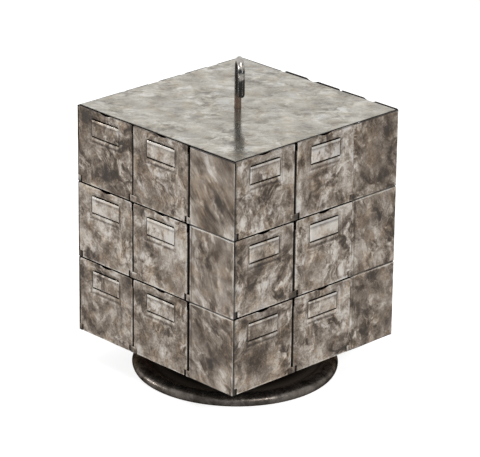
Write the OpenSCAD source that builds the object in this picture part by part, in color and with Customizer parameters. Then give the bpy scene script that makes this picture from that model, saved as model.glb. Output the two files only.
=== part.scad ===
// Revolving parts bin: a square sheet-steel cabinet of 24 bins that turns on a round
// cast-iron base, round a fixed spindle whose top is bent into a hook.
// Origin: on the floor, on the turning axis. +Z up. The front of the cabinet faces -Y.

/* [Cabinet] */
// Width of one bin's bay, along a face of the cabinet
bay_w = 110.5; // [98:0.5:140]
// Depth of a block of bays, and width of the plain panel beside it
block_d = 84; // [72:0.5:105]
// Height of one tier of bins
tier_h = 109.9; // [92:0.1:140]
// Thickness of the sheet steel
sheet_t = 1; // [0.7:0.1:1.4]
// Thickness of the top plate
top_t = 1.4; // [1:0.1:3]
// Outside radius of the bend where a plain panel turns inwards
fold_r = 2; // [1.5:0.1:3]
// Seam between a plain panel and the one above it
panel_seam = 0.9; // [0.3:0.1:2]
// Gap between a shelf's edge and the panels in front of it
shelf_edge_gap = 0.2; // [0.1:0.1:0.6]
// How far a divider's front edge stands back from the face
divider_setback = 3; // [2:0.5:8]
// How far a lug reaches beside the wall that it stands against
lug_reach = 5; // [2.4:0.1:6]
// Height of the lugs at the foot of each gap
lug_h = 8; // [5:0.5:14]
// Corner radius of the top plate
plate_corner_r = 2; // [0.5:0.5:5]
// How far the top plate's upper side stands above the fronts and panels round it
plate_rise = 0.3; // [0.1:0.1:1]
// Gap between the top plate and the sheets round it, at the front
plate_gap_front = 3.4; // [0.3:0.1:5]
// Gap between the top plate and the sheets round it, at the right
plate_gap_right = 2.3; // [0.3:0.1:5]
// Gap between the top plate and the sheets round it, at the back and at the left
plate_gap_far = 0.3; // [0.2:0.1:5]

/* [Bins] */
// Clearance between a bin's front and the wall beside it
side_gap = 1.1; // [0.5:0.1:1.6]
// Clearance behind a bin
back_gap = 1.5; // [0.5:0.1:4]
// Clearance under a bin's floor
floor_gap = 0.2; // [0.1:0.05:0.5]
// Gap over a bin's front
front_head_gap = 2; // [1:0.1:4]
// Height of a front's lower edge above the foot of its tier
front_foot_gap = 0.4; // [0.2:0.1:0.8]
// Clearance between a lug's end and the front's lower corner, cut away for it
lug_clear = 2.8; // [0.8:0.1:3.4]
// Clearance between a lug's top and the front's lower corner
lug_head_gap = 1.2; // [0.8:0.1:2]
// How far the side walls stop below the top of the front
side_drop = 12; // [6:1:30]
// How much the front narrows above its side returns, at each side
tongue_inset = 0.7; // [0.2:0.1:1.5]
// Outside radius of the front's bent edges
return_r = 1.6; // [1.5:0.1:2.6]
// Depth of the returns at the front's edges
return_d = 5; // [4:0.5:10]
// Outside radius of the tray's upright back corners
tray_corner_r = 2; // [1.5:0.1:4]
// Width of the finger notch in the front's top edge
finger_w = 22; // [16:1:40]
// Depth of the finger notch
finger_d = 2.6; // [1.5:0.1:6]
// Width of the label plate pressed out of the front
label_w = 54; // [40:1:70]
// Height from the middle of the upper slit to the middle of the lower one
label_h = 25; // [15:0.5:40]
// Distance from the front's top edge to the middle of the upper slit
label_drop = 12.5; // [9:0.5:20]
// Height of the slits over and under the label plate
slit_h = 2; // [1:0.1:4]
// How far the label plate stands out of the front
label_proud = 1; // [0.5:0.1:2]
// Length of the slope at each end of the label plate
label_ramp = 2.5; // [1.5:0.1:6]
// How far the upper bin at the back, on the left, stands out at rest
back_a_out = 3; // [0:0.5:4]
// How far the upper bin at the back, on the right, stands out at rest
back_b_out = 4; // [0:0.5:4]

/* [Base] */
// Diameter of the base over its bead
base_d = 286; // [240:2:340]
// Radius of the bead round the rim
bead_r = 8; // [6:0.5:12]
// Width of the flat ring that the bead stands on
foot_w = 7; // [4:0.5:9]
// Radius of the hollow curve between bead and web
bead_cove_r = 7; // [3:0.5:12]
// Thickness of the web
web_t = 5.5; // [4:0.5:8]
// Height of the web's upper side at the bead
web_rim_z = 10; // [9:0.5:12]
// Height of the web's upper side at the hub
web_hub_z = 14; // [12:0.5:18]
// Height of the hub's top face
hub_h = 33; // [28:0.5:60]
// Radius of the hollow curve between web and hub
cove_r = 14; // [6:1:15]
// Radius of the pocket under the hub, round the lower nut
nut_pocket_r = 15; // [12:0.5:20]
// Height of the pocket's ceiling, where the washer seats
nut_seat_z = 14; // [13.2:0.2:20]

/* [Spindle] */
// Diameter of the spindle rod
rod_d = 9.5; // [8:0.5:10]
// Height of the rod's lower end above the floor
rod_foot_z = 2.4; // [1:0.2:3.4]
// Chamfer on the rod's lower end
rod_chamfer = 0.8; // [0.4:0.1:1.5]
// Height from the top plate to the start of the hook's bend
hook_rise = 54.3; // [45:0.1:80]
// Radius of the hook's bend, to the middle of the rod
hook_r = 18; // [14:0.5:26]
// Straight length of the hook's free leg
hook_leg = 24; // [8:1:40]
// Direction in which the hook opens, in degrees from +X
hook_turn = -37; // [-180:1:180]
// Clearance of the rod in the base and in its nuts
rod_fit = 0.1; // [0.05:0.05:0.2]
// Clearance between the rod and the edge of the top plate's hole
plate_hole_gap = 0.5; // [0.3:0.1:1.5]
// Width of the nuts across their flats
nut_af = 14.3; // [13:0.1:17]
// Height of the nuts
nut_h = 8.3; // [5:0.1:8.8]
// Outside diameter of the washer
washer_d = 22; // [18:0.5:26]
// Thickness of the washer
washer_t = 1.6; // [1:0.1:2.4]

/* [Bearing] */
// Diameter of a bearing ball
ball_d = 6.35; // [5.5:0.05:7]
// Number of balls
ball_count = 14; // [8:1:16]
// Radius of the circle through the balls' centres
ball_ring_r = 20; // [18.5:0.5:22]
// Clearance between a ball and each race
ball_gap = 0.2; // [0.1:0.05:0.3]
// Outside diameter of the races
race_d = 58; // [54:1:64]
// Bore of the races
race_bore = 22; // [20:0.5:24]
// Thickness of a race
race_t = 4; // [3.2:0.1:6]
// Depth of the groove in a race
groove_d = 1.3; // [0.8:0.1:1.8]
// How much the groove's radius exceeds the ball's
groove_slack = 0.25; // [0.1:0.05:0.5]
// Thickness of the ball cage
cage_t = 2; // [1.2:0.1:2.6]
// Width of the cage's ring
cage_w = 15; // [12:0.5:16]
// Clearance of a ball in its cage pocket
pocket_gap = 0.15; // [0.1:0.05:0.3]
// Width of the lips that centre the races
lip_w = 3.5; // [2:0.5:5]
// Height of the lips that centre the races
lip_h = 1.5; // [0.8:0.1:2]
// Clearance between a race and its lip
lip_gap = 0.15; // [0.05:0.05:0.3]
// Diameter of the pivot flange
flange_d = 90; // [86:1:110]
// Thickness of the pivot flange
flange_t = 5; // [3:0.5:8]
// Outside diameter of the centre tube
tube_d = 16; // [15.5:0.5:20]
// Bore of the centre tube
tube_bore = 12.4; // [12:0.1:13]
// Clearance between the tube and the holes it passes through
tube_fit = 0.05; // [0.02:0.01:0.3]
// Clearance between the tube and the holes in the middle and upper shelves
shelf_hole_gap = 0.5; // [0.3:0.1:1]
// Length of a bush
bush_len = 20; // [10:1:30]
// Clearance of the rod in its bushes
bush_fit = 0.05; // [0.02:0.01:0.1]
// Clearance between a bush and the tube's bore
bush_seat_gap = 0.03; // [0.01:0.01:0.05]
// Number of rivets in the pivot flange
rivet_count = 4; // [3:1:8]
// Diameter of a rivet's shank
rivet_d = 5; // [3:0.5:6]
// Diameter of a rivet's head
rivet_head_d = 9; // [8:0.5:10]
// Height of a rivet's head
rivet_head_h = 2.4; // [1.5:0.1:3.4]
// Radius of the circle through the rivets
rivet_ring_r = 38; // [37.5:0.5:40]
// Clearance of a rivet in its hole
rivet_fit = 0.1; // [0.05:0.05:0.3]

/* [Hidden] */
$fn = 64;
TIERS = ["lower", "middle", "upper"];
FACES = ["front", "right", "back", "left"];
PLACES = ["a", "b"];

face_w = 2 * bay_w + block_d;
half_w = face_w / 2;
fold_u = half_w - block_d;
clear_bay_w = bay_w - sheet_t;
divider_u = -half_w + bay_w + sheet_t / 2;
bay_centre_u = [for (place = [0:1]) -half_w + sheet_t + clear_bay_w / 2 + place * bay_w];
wall_d = block_d - sheet_t;
case_h = len(TIERS) * tier_h;

front_w = clear_bay_w - 2 * side_gap;
front_top = tier_h - front_head_gap;
notch_w = lug_reach + lug_clear - side_gap;
notch_top = lug_h + lug_head_gap;
tray_w = front_w - 2 * notch_w;
tray_d = wall_d - back_gap;
tray_z = sheet_t + floor_gap;
side_top = front_top - side_drop;
finger_r = (pow(finger_w / 2, 2) + pow(finger_d, 2)) / (2 * finger_d);
upper_slit_z = front_top - label_drop;

base_r = base_d / 2;
bead_ring_r = base_r - bead_r;
bead_z = sqrt(pow(bead_r, 2) - pow(foot_w / 2, 2));
bead_cove_z = web_rim_z + bead_cove_r;
bead_cove_u = sqrt(pow(bead_r + bead_cove_r, 2) - pow(bead_cove_z - bead_z, 2));
lip_in_r = race_d / 2 + lip_gap;
hub_r = lip_in_r + lip_w;
ball_r = ball_d / 2;
groove_r = ball_r + groove_slack;
lower_race_top = hub_h + race_t;
ball_z = lower_race_top - groove_d + ball_gap + ball_r;
upper_race_z = 2 * ball_z - lower_race_top;
flange_z = upper_race_z + race_t;
case_z = flange_z + flange_t;
plate_top = case_z + case_h - front_head_gap + plate_rise;
plate_z = plate_top - top_t;
rod_r = rod_d / 2;
bend_z = plate_top + hook_rise;

// A face's own frame: u to the right along the face, v inwards from it, z up
module on_face(face) {
    rotate([0, 0, 90 * face]) translate([0, -half_w, 0]) children();
}

module on_tier(tier) {
    translate([0, 0, case_z + tier * tier_h]) children();
}

// Height of the sheets of a tier, from its foot to the shelf or top plate over them
function wall_top(tier) = tier < len(TIERS) - 1 ? tier_h : plate_z - case_z - tier * tier_h;

module ring(outer_r, inner_r, height) {
    difference() {
        cylinder(r = outer_r, h = height);
        translate([0, 0, -1]) cylinder(r = inner_r, h = height + 2);
    }
}

// A plan with round corners at its back or, turned, at its front
module round_square(width, depth, corner_r) {
    translate([-width / 2 + corner_r, 0]) square([width - 2 * corner_r, depth]);
    translate([-width / 2, corner_r]) square([width, depth - 2 * corner_r]);
    for (side = [-1, 1], end = [corner_r, depth - corner_r])
        translate([side * (width / 2 - corner_r), end]) circle(r = corner_r);
}

module hex_nut() {
    difference() {
        cylinder(d = nut_af / cos(30), h = nut_h, $fn = 6);
        translate([0, 0, -1]) cylinder(r = rod_r + rod_fit, h = nut_h + 2);
    }
}

// Base

module web_outline() {
    polygon([
        [0, web_hub_z - web_t], [bead_ring_r, web_rim_z - web_t],
        [bead_ring_r, web_rim_z], [hub_r + cove_r, web_hub_z], [0, web_hub_z]
    ]);
}

module cove_outline() {
    translate([hub_r - 0.01, web_hub_z - web_t / 2]) difference() {
        square([cove_r, cove_r + web_t / 2]);
        translate([cove_r, cove_r + web_t / 2]) circle(r = cove_r);
    }
}

module bead_outline() {
    intersection() {
        translate([bead_ring_r, bead_z]) circle(r = bead_r);
        translate([bead_ring_r - bead_r, 0]) square(3 * bead_r);
    }
}

// Hollow curve from the web's upper side to the bead
module bead_cove_outline() {
    centre = [bead_ring_r - bead_cove_u, bead_cove_z];
    difference() {
        polygon([[centre.x, web_rim_z - web_t / 2], [centre.x, centre.y], [bead_ring_r, bead_z]]);
        translate(centre) circle(r = bead_cove_r);
    }
}

module base_casting() {
    color("#3a3530") difference() {
        union() {
            rotate_extrude() {
                web_outline();
                cove_outline();
                bead_cove_outline();
            }
            rotate_extrude() bead_outline();
            translate([0, 0, web_hub_z - web_t]) cylinder(r = hub_r, h = hub_h - web_hub_z + web_t);
            translate([0, 0, hub_h]) ring(hub_r, lip_in_r, lip_h);
        }
        translate([0, 0, -1]) cylinder(r = rod_r + rod_fit, h = hub_h + 2);
        translate([0, 0, -1]) cylinder(r = nut_pocket_r, h = nut_seat_z + 1);
    }
}

module hook_bend() {
    translate([hook_r, 0, bend_z]) rotate([90, 0, 0])
        rotate_extrude(angle = 180) translate([hook_r, 0]) circle(r = rod_r);
}

module spindle_hook() {
    color("#4a443d") rotate([0, 0, hook_turn]) {
        translate([0, 0, rod_foot_z]) cylinder(r1 = rod_r - rod_chamfer, r2 = rod_r, h = rod_chamfer);
        translate([0, 0, rod_foot_z + rod_chamfer]) cylinder(r = rod_r, h = bend_z - rod_foot_z - rod_chamfer);
        hook_bend();
        translate([2 * hook_r, 0, bend_z - hook_leg]) cylinder(r = rod_r, h = hook_leg);
        translate([2 * hook_r, 0, bend_z - hook_leg]) sphere(r = rod_r);
    }
}

module spindle_nut_lower() {
    color("#6e6a64") translate([0, 0, nut_seat_z - washer_t - nut_h]) hex_nut();
}

module spindle_nut_upper() {
    color("#6e6a64") translate([0, 0, hub_h]) hex_nut();
}

module spindle_washer() {
    color("#77736c") translate([0, 0, nut_seat_z - washer_t])
        ring(washer_d / 2, rod_r + rod_fit, washer_t);
}

// Bearing

module race() {
    difference() {
        ring(race_d / 2, race_bore / 2, race_t);
        rotate_extrude()
            translate([ball_ring_r, race_t - groove_d + groove_r]) circle(r = groove_r);
    }
}

module bearing_race_lower() {
    color("#8d8a84") translate([0, 0, hub_h]) race();
}

module bearing_race_upper() {
    color("#8d8a84") translate([0, 0, flange_z]) mirror([0, 0, 1]) race();
}

module at_balls() {
    for (i = [0:ball_count - 1])
        rotate([0, 0, i * 360 / ball_count]) translate([ball_ring_r, 0, ball_z]) children();
}

module bearing_balls() {
    color("#b9b7b2") at_balls() sphere(r = ball_r);
}

module ball_cage() {
    color("#9a7b45") difference() {
        translate([0, 0, ball_z - cage_t / 2])
            ring(ball_ring_r + cage_w / 2, ball_ring_r - cage_w / 2, cage_t);
        at_balls() cylinder(r = ball_r + pocket_gap, h = 2 * cage_t, center = true);
    }
}

module at_rivets() {
    for (i = [0:rivet_count - 1])
        rotate([0, 0, 45 + i * 360 / rivet_count]) translate([rivet_ring_r, 0, 0]) children();
}

module rivet_holes(z, height) {
    at_rivets() translate([0, 0, z]) cylinder(r = rivet_d / 2 + rivet_fit, h = height);
}

module pivot_flange() {
    color("#5d5851") difference() {
        union() {
            translate([0, 0, flange_z]) cylinder(d = flange_d, h = flange_t);
            translate([0, 0, flange_z - lip_h]) ring(hub_r, lip_in_r, lip_h);
        }
        translate([0, 0, flange_z - 1]) cylinder(r = tube_d / 2 + tube_fit, h = flange_t + 2);
        rivet_holes(flange_z - 1, flange_t + 2);
    }
}

// A rivet head: the cap of a ball, flat side down
module rivet_head() {
    cap_r = (pow(rivet_head_d / 2, 2) + pow(rivet_head_h, 2)) / (2 * rivet_head_h);
    intersection() {
        translate([0, 0, rivet_head_h - cap_r]) sphere(r = cap_r);
        cylinder(d = rivet_head_d + 1, h = rivet_head_h + 1);
    }
}

module pivot_rivets() {
    color("#77736c") at_rivets() {
        translate([0, 0, flange_z]) cylinder(d = rivet_d, h = flange_t + sheet_t);
        translate([0, 0, case_z + sheet_t]) rivet_head();
        translate([0, 0, flange_z]) mirror([0, 0, 1]) rivet_head();
    }
}

module centre_tube() {
    color("#6e6962") translate([0, 0, flange_z]) ring(tube_d / 2, tube_bore / 2, plate_z - flange_z);
}

module bush(z) {
    color("#a8814a") translate([0, 0, z])
        ring(tube_bore / 2 - bush_seat_gap, rod_r + bush_fit, bush_len);
}

module bush_lower() {
    bush(flange_z);
}

module bush_upper() {
    bush(plate_z - bush_len);
}

// Cabinet

module shelf(tier) {
    shelf_w = face_w - 2 * (sheet_t + shelf_edge_gap);
    color("#7d776e") on_tier(tier) difference() {
        translate([-shelf_w / 2, -shelf_w / 2, 0]) cube([shelf_w, shelf_w, sheet_t]);
        translate([0, 0, -1])
            cylinder(r = tube_d / 2 + (tier == 0 ? tube_fit : shelf_hole_gap), h = sheet_t + 2);
        if (tier == 0) rivet_holes(-1, sheet_t + 2);
    }
}

module divider(height) {
    lug_w = sheet_t + 2 * lug_reach;
    translate([divider_u, 0, 0]) {
        translate([-sheet_t / 2, divider_setback, sheet_t])
            cube([sheet_t, wall_d - divider_setback, height - sheet_t]);
        translate([-sheet_t / 2, 0, sheet_t]) cube([sheet_t, divider_setback + 1, lug_h - sheet_t]);
        translate([-lug_w / 2, 0, 0]) cube([lug_w, sheet_t, lug_h]);
    }
}

module dividers(tier) {
    color("#7d776e") on_tier(tier)
        for (face = [0:3]) on_face(face) divider(wall_top(tier));
}

// Plan of the quarter bend where a plain panel turns inwards
module fold_plan() {
    translate([fold_u + fold_r, fold_r]) intersection() {
        difference() {
            circle(r = fold_r);
            circle(r = fold_r - sheet_t);
        }
        translate([-fold_r, -fold_r]) square(fold_r);
    }
}

// One bent sheet: a plain panel on its face, and the wall behind the next block of bays
module side_sheet(tier, face) {
    top = tier == len(TIERS) - 1;
    panel_h = top ? tier_h - front_head_gap : tier_h - panel_seam;
    fold_h = min(panel_h, wall_top(tier));
    color("#837d73") on_tier(tier) on_face(face) {
        translate([fold_u + fold_r, 0, 0]) cube([block_d - fold_r, sheet_t, panel_h]);
        translate([0, 0, sheet_t]) linear_extrude(fold_h - sheet_t) fold_plan();
        translate([fold_u, fold_r, sheet_t]) cube([sheet_t, 2 * bay_w - fold_r, wall_top(tier) - sheet_t]);
        translate([fold_u - lug_reach, 0, 0]) cube([lug_reach + fold_r, sheet_t, lug_h]);
        translate([half_w - sheet_t, 0, 0]) cube([sheet_t, sheet_t + lug_reach, lug_h]);
    }
}

module top_plate() {
    inner_w = face_w - 2 * sheet_t;
    plate_w = inner_w - plate_gap_right - plate_gap_far;
    plate_d = inner_w - plate_gap_front - plate_gap_far;
    color("#a7a298") translate([0, 0, plate_z]) difference() {
        linear_extrude(top_t)
            translate([(plate_gap_far - plate_gap_right) / 2, plate_gap_front - inner_w / 2])
                round_square(plate_w, plate_d, plate_corner_r);
        translate([0, 0, -1]) cylinder(r = rod_r + plate_hole_gap, h = top_t + 2);
    }
}

// Bins, each in its own frame: u from its middle, v inwards from its face, z from its tier's foot

module front_plan() {
    difference() {
        round_square(front_w, return_d + return_r, return_r);
        translate([0, sheet_t]) round_square(front_w - 2 * sheet_t, return_d + return_r, return_r - sheet_t);
        translate([-front_w / 2 - 1, return_d]) square([front_w + 2, 2 * return_r]);
    }
}

module front_sheet() {
    difference() {
        union() {
            translate([0, 0, notch_top]) linear_extrude(side_top - notch_top) front_plan();
            translate([-front_w / 2 + notch_w, 0, front_foot_gap])
                cube([front_w - 2 * notch_w, sheet_t, front_top - front_foot_gap]);
            translate([-front_w / 2 + tongue_inset, 0, side_top - 1])
                cube([front_w - 2 * tongue_inset, sheet_t, front_top - side_top + 1]);
        }
        translate([0, 2 * sheet_t, front_top + finger_r - finger_d])
            rotate([90, 0, 0]) cylinder(r = finger_r, h = 3 * sheet_t);
        translate([-label_w / 2, -1, upper_slit_z - label_h - slit_h / 2])
            cube([label_w, sheet_t + 2, label_h + slit_h]);
    }
}

// The label plate, pressed outwards between its two slits
module label_plate() {
    flat = label_w / 2 - label_ramp;
    end = label_w / 2;
    root = end + sheet_t;
    translate([0, 0, upper_slit_z - label_h + slit_h / 2]) linear_extrude(label_h - slit_h) polygon([
        [-root, 0], [-end, 0], [-flat, -label_proud], [flat, -label_proud], [end, 0], [root, 0],
        [root, sheet_t], [end, sheet_t], [flat, sheet_t - label_proud],
        [-flat, sheet_t - label_proud], [-end, sheet_t], [-root, sheet_t]
    ]);
}

module tray() {
    wall_h = side_top - tray_z;
    translate([0, 0, tray_z]) difference() {
        linear_extrude(wall_h) tray_plan(tray_w, tray_d, tray_corner_r);
        translate([0, sheet_t, sheet_t]) linear_extrude(wall_h)
            tray_plan(tray_w - 2 * sheet_t, tray_d - 2 * sheet_t, tray_corner_r - sheet_t);
    }
}

module tray_plan(width, depth, corner_r) {
    translate([-width / 2, 0]) square([width, depth - corner_r]);
    translate([-width / 2 + corner_r, 0]) square([width - 2 * corner_r, depth]);
    for (side = [-1, 1])
        translate([side * (width / 2 - corner_r), depth - corner_r]) circle(r = corner_r);
}

module bin(tier, face, place) {
    rest_out = tier == 2 && face == 2 ? [back_a_out, back_b_out][place] : 0;
    color("#8b857a") on_tier(tier) on_face(face) translate([bay_centre_u[place], -rest_out, 0]) {
        front_sheet();
        label_plate();
        difference() {
            tray();
            translate([-tray_w / 2 - 1, -1, tray_z - 1]) cube([tray_w + 2, sheet_t + 1, side_top]);
        }
    }
}

base_casting();
spindle_hook();
spindle_nut_lower();
spindle_nut_upper();
spindle_washer();
bearing_race_lower();
bearing_balls();
ball_cage();
bearing_race_upper();
pivot_flange();
pivot_rivets();
centre_tube();
bush_lower();
bush_upper();
top_plate();
for (tier = [0:len(TIERS) - 1]) {
    shelf(tier);
    dividers(tier);
    for (face = [0:len(FACES) - 1]) {
        sheet = str("side_sheet_", TIERS[tier], "_", FACES[face]);
        side_sheet(tier, face);
        for (place = [0:1]) {
            name = str("bin_", TIERS[tier], "_", FACES[face], "_", PLACES[place]);
            bin(tier, face, place);
        }
    }
}
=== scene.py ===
import math
import random
from functools import reduce
from itertools import product

import bmesh
import bpy
import numpy as np
from mathutils import Matrix, Vector


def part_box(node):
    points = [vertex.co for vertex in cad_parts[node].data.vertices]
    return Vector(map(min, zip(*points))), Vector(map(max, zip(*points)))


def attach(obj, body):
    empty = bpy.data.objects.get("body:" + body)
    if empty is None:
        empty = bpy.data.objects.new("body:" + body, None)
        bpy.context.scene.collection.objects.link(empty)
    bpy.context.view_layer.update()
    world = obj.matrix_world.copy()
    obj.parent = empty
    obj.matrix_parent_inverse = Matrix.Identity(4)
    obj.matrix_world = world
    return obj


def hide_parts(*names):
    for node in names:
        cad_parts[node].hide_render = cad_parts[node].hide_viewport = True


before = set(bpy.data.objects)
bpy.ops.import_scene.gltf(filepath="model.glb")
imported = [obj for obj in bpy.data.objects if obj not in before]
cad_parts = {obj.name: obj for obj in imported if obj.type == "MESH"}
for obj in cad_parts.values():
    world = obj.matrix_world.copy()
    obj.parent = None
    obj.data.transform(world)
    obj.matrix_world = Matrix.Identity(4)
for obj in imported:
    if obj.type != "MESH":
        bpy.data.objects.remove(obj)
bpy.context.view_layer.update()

# Revolving parts bin: worn sheet-steel bins in a square cabinet, on a turned iron base.
# Everything is in metres, with the floor at z = 0 and the turning axis at x = y = 0.

MM = 0.001
TIERS = ["lower", "middle", "upper"]
FACES = ["front", "right", "back", "left"]
PLACES = ["a", "b"]
TOP_TIER = len(TIERS) - 1
FRONT, RIGHT = 0, 1

# Cabinet, read off the frame where it shows it
plate_low, plate_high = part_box("top_plate")
shelf_low, shelf_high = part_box("shelf_lower")
HALF_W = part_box("side_sheet_lower_front")[1].x
PLATE_Z = plate_low.z
PLATE_TOP = plate_high.z
CASE_Z = shelf_low.z
SHEET = shelf_high.z - shelf_low.z
TIER_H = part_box("shelf_middle")[0].z - CASE_Z
BLOCK_D = 84 * MM
FOLD_U = HALF_W - BLOCK_D
FOLD_R = 2 * MM
PANEL_SEAM = 1.7 * MM
DIVIDER_SETBACK = 3 * MM
LUG_REACH = 5 * MM
# How far the lugs of each face's divider reach to its left and to its right
LUG_REACHES = [(5 * MM, 6.4 * MM), (7 * MM, 5 * MM), (5 * MM, 5 * MM), (5 * MM, 5 * MM)]
LUG_H = 8.8 * MM
PLATE_CORNER_R = 2 * MM
PLATE_HOLE_R = 5.25 * MM

# Bins, read off the frame where it shows them
bin_low, bin_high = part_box("bin_lower_front_a")
next_low, next_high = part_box("bin_lower_front_b")
FRONT_W = bin_high.x - bin_low.x
FRONT_FOOT = bin_low.z - CASE_Z
FRONT_TOP = bin_high.z - CASE_Z
TRAY_D = bin_high.y + HALF_W
LABEL_PROUD = -HALF_W - bin_low.y
BAY_U = [(bin_low.x + bin_high.x) / 2, (next_low.x + next_high.x) / 2]
DIVIDER_U = (bin_high.x + next_low.x) / 2
RETURN_R = 1.6 * MM
RETURN_D = 5 * MM
NOTCH_W = 6.7 * MM
NOTCH_TOP = 9.2 * MM
TONGUE_INSET = 0.7 * MM
SIDE_TOP = FRONT_TOP - 12 * MM
FINGER_W = 22 * MM
FINGER_D = 2.6 * MM
LABEL_W = 54 * MM
LABEL_RAMP = 2.5 * MM
LABEL_MARGIN = 4.2 * MM
LABEL_LIP = 4.5 * MM
FIELD_D = 0.22 * MM
SLIT_ROOM = 0.01 * MM
DISH_D = 1.3 * MM
DISH_W = 9 * MM
UPPER_SLIT_H = 1.4 * MM
LOWER_SLIT_H = 2 * MM
UPPER_SLIT_Z = FRONT_TOP - 12.5 * MM
LOWER_SLIT_Z = UPPER_SLIT_Z - 25 * MM
LABEL_TOP = UPPER_SLIT_Z - UPPER_SLIT_H / 2
LABEL_FOOT = LOWER_SLIT_Z + LOWER_SLIT_H / 2
TRAY_Z = SHEET + 0.2 * MM
TRAY_CORNER_R = 2 * MM
BEND_R = 1.5 * MM
WELD_R = 1.7 * MM
WELD_FLATNESS = 0.12
WELD_INSET = 6.5 * MM
WELD_LOWEST = 18 * MM
WELD_PITCH = 26 * MM

# Base, spindle and bearing
BASE_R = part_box("base_casting")[1].x
BEAD_R = 8 * MM
CROWN_H = 9 * MM
CROWN_W = 13 * MM
FOOT_W = 7 * MM
WEB_T = 5.5 * MM
WEB_RIM_Z = 10 * MM
WEB_HUB_Z = 14 * MM
HUB_R = 32.65 * MM
HUB_H = 33 * MM
HUB_LIP_IN = 29.15 * MM
HUB_LIP_H = 1.5 * MM
COVE_R = 14 * MM
BEAD_COVE_R = 7 * MM
NUT_POCKET_R = 15 * MM
NUT_SEAT_Z = 14 * MM
NUT_AF = 14.3 * MM
ROD_R = 4.75 * MM
BORE_R = ROD_R + 0.1 * MM
ROD_FOOT_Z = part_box("spindle_hook")[0].z
HOOK_R = 18 * MM
HOOK_LEG = 24 * MM
HOOK_TURN = math.radians(-37)
BEND_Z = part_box("spindle_hook")[1].z - HOOK_R - ROD_R
BALL_R = 3.175 * MM
BALL_COUNT = 14
BALL_RING_R = 20 * MM

# Eased edges, grids and shading
SHEET_EASE = 0.2 * MM
SLAB_EASE = 0.15 * MM
SAME_PLACE = 0.001 * MM
EASED_FROM = math.radians(50)
CRISP_FROM = math.radians(34)
FRONT_STEP = 3.2 * MM
TRAY_STEP = 6 * MM
PANEL_STEP = 5 * MM
PLATE_TURNS = 168
NUT_TURNS = 96

# Colour of the painted shade in seams, gaps and creases, as on screen, from 0 to 255, and how much of it lies
# in a gap
SHADE_COLOUR = (26, 21, 17)
SEAM_SHADE = 0.92


# Sums and curves

def smooth(value, low, high):
    """0 below low, 1 above high, and a smooth rise between them."""
    share = np.clip((value - low) / (high - low), 0.0, 1.0)
    return share * share * (3 - 2 * share)


def fall(value, low, high):
    """1 below low, 0 above high, and a smooth fall between them."""
    return 1 - smooth(value, low, high)


def least(*values):
    return reduce(np.minimum, values)


def most(*values):
    return reduce(np.maximum, values)


def lines(marks, step):
    """Grid lines at every mark, and even ones between marks, no more than a step apart."""
    marks = sorted(set(round(mark, 7) for mark in marks))
    found = []
    for low, high in zip(marks, marks[1:]):
        count = max(1, math.ceil((high - low) / step - 0.001))
        found += [low + (high - low) * i / count for i in range(count)]
    return found + [marks[-1]]


def around(*marks):
    """The marks, on both sides of the middle."""
    return [side * mark for side in (-1, 1) for mark in marks]


def arc(centre, radius, start, end, steps):
    """Points on an arc, from one angle to another in degrees."""
    angles = [math.radians(start + (end - start) * i / steps) for i in range(steps + 1)]
    return [(centre[0] + radius * math.cos(a), centre[1] + radius * math.sin(a)) for a in angles]


def ripple(places, seed, size, waves=7):
    """A smooth random surface between about -1 and 1 over two directions, with bumps about one size wide."""
    draw = random.Random(seed)
    height = np.zeros(len(places))
    for _ in range(waves):
        turn = draw.uniform(0, math.pi)
        length = size * draw.uniform(1.1, 2.6)
        phase = draw.uniform(0, 2 * math.pi)
        along = places[:, 0] * math.cos(turn) + places[:, 1] * math.sin(turn)
        height += np.sin(2 * math.pi * along / length + phase)
    return height / math.sqrt(waves)


# Meshes

def new_object(name, data):
    made = bpy.data.objects.new(name, data)
    bpy.context.scene.collection.objects.link(made)
    return made


def new_piece(name, mesh, material=None):
    if material:
        mesh.materials.clear()
        mesh.materials.append(material)
    return new_object(name, mesh)


def made_mesh(name, bm):
    mesh = bpy.data.meshes.new(name)
    bm.to_mesh(mesh)
    bm.free()
    return mesh


def skin(bm, rows, closed):
    """Faces from each row of corners to the next, and from a row's end to its start where rows are closed."""
    for first, second in zip(rows, rows[1:]):
        for i in range(len(first) if closed else len(first) - 1):
            j = (i + 1) % len(first)
            bm.faces.new((first[i], second[i], second[j], first[j]))


def settled(piece):
    """The piece with its modifiers made part of its mesh."""
    bpy.context.view_layer.update()
    depsgraph = bpy.context.evaluated_depsgraph_get()
    mesh = bpy.data.meshes.new_from_object(piece.evaluated_get(depsgraph))
    piece.modifiers.clear()
    piece.data = mesh
    return piece


def points_of(mesh):
    flat = np.empty(len(mesh.vertices) * 3, dtype=np.float32)
    mesh.vertices.foreach_get("co", flat)
    return flat.reshape(-1, 3).astype(float)


def set_points(mesh, points):
    mesh.vertices.foreach_set("co", points.astype(np.float32).ravel())
    mesh.update()


def add_marks(mesh, name, values):
    """Stores numbers or vectors on the mesh's points, for its material to read."""
    kind = "FLOAT" if values.ndim == 1 else "FLOAT_VECTOR"
    field = "value" if values.ndim == 1 else "vector"
    marks = mesh.attributes.new(name, kind, "POINT")
    marks.data.foreach_set(field, values.astype(np.float32).ravel())


def sheet_mesh(name, across, up, point, kept):
    """One side of a sheet: a grid whose corners point() places and whose cells kept() picks."""
    bm = bmesh.new()
    corners = {}

    def corner(i, j):
        if (i, j) not in corners:
            corners[i, j] = bm.verts.new(point(across[i], up[j]))
        return corners[i, j]

    for i, j in product(range(len(across) - 1), range(len(up) - 1)):
        if kept((across[i] + across[i + 1]) / 2, (up[j] + up[j + 1]) / 2):
            bm.faces.new((corner(i, j), corner(i + 1, j), corner(i + 1, j + 1), corner(i, j + 1)))
    return made_mesh(name, bm)


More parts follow.
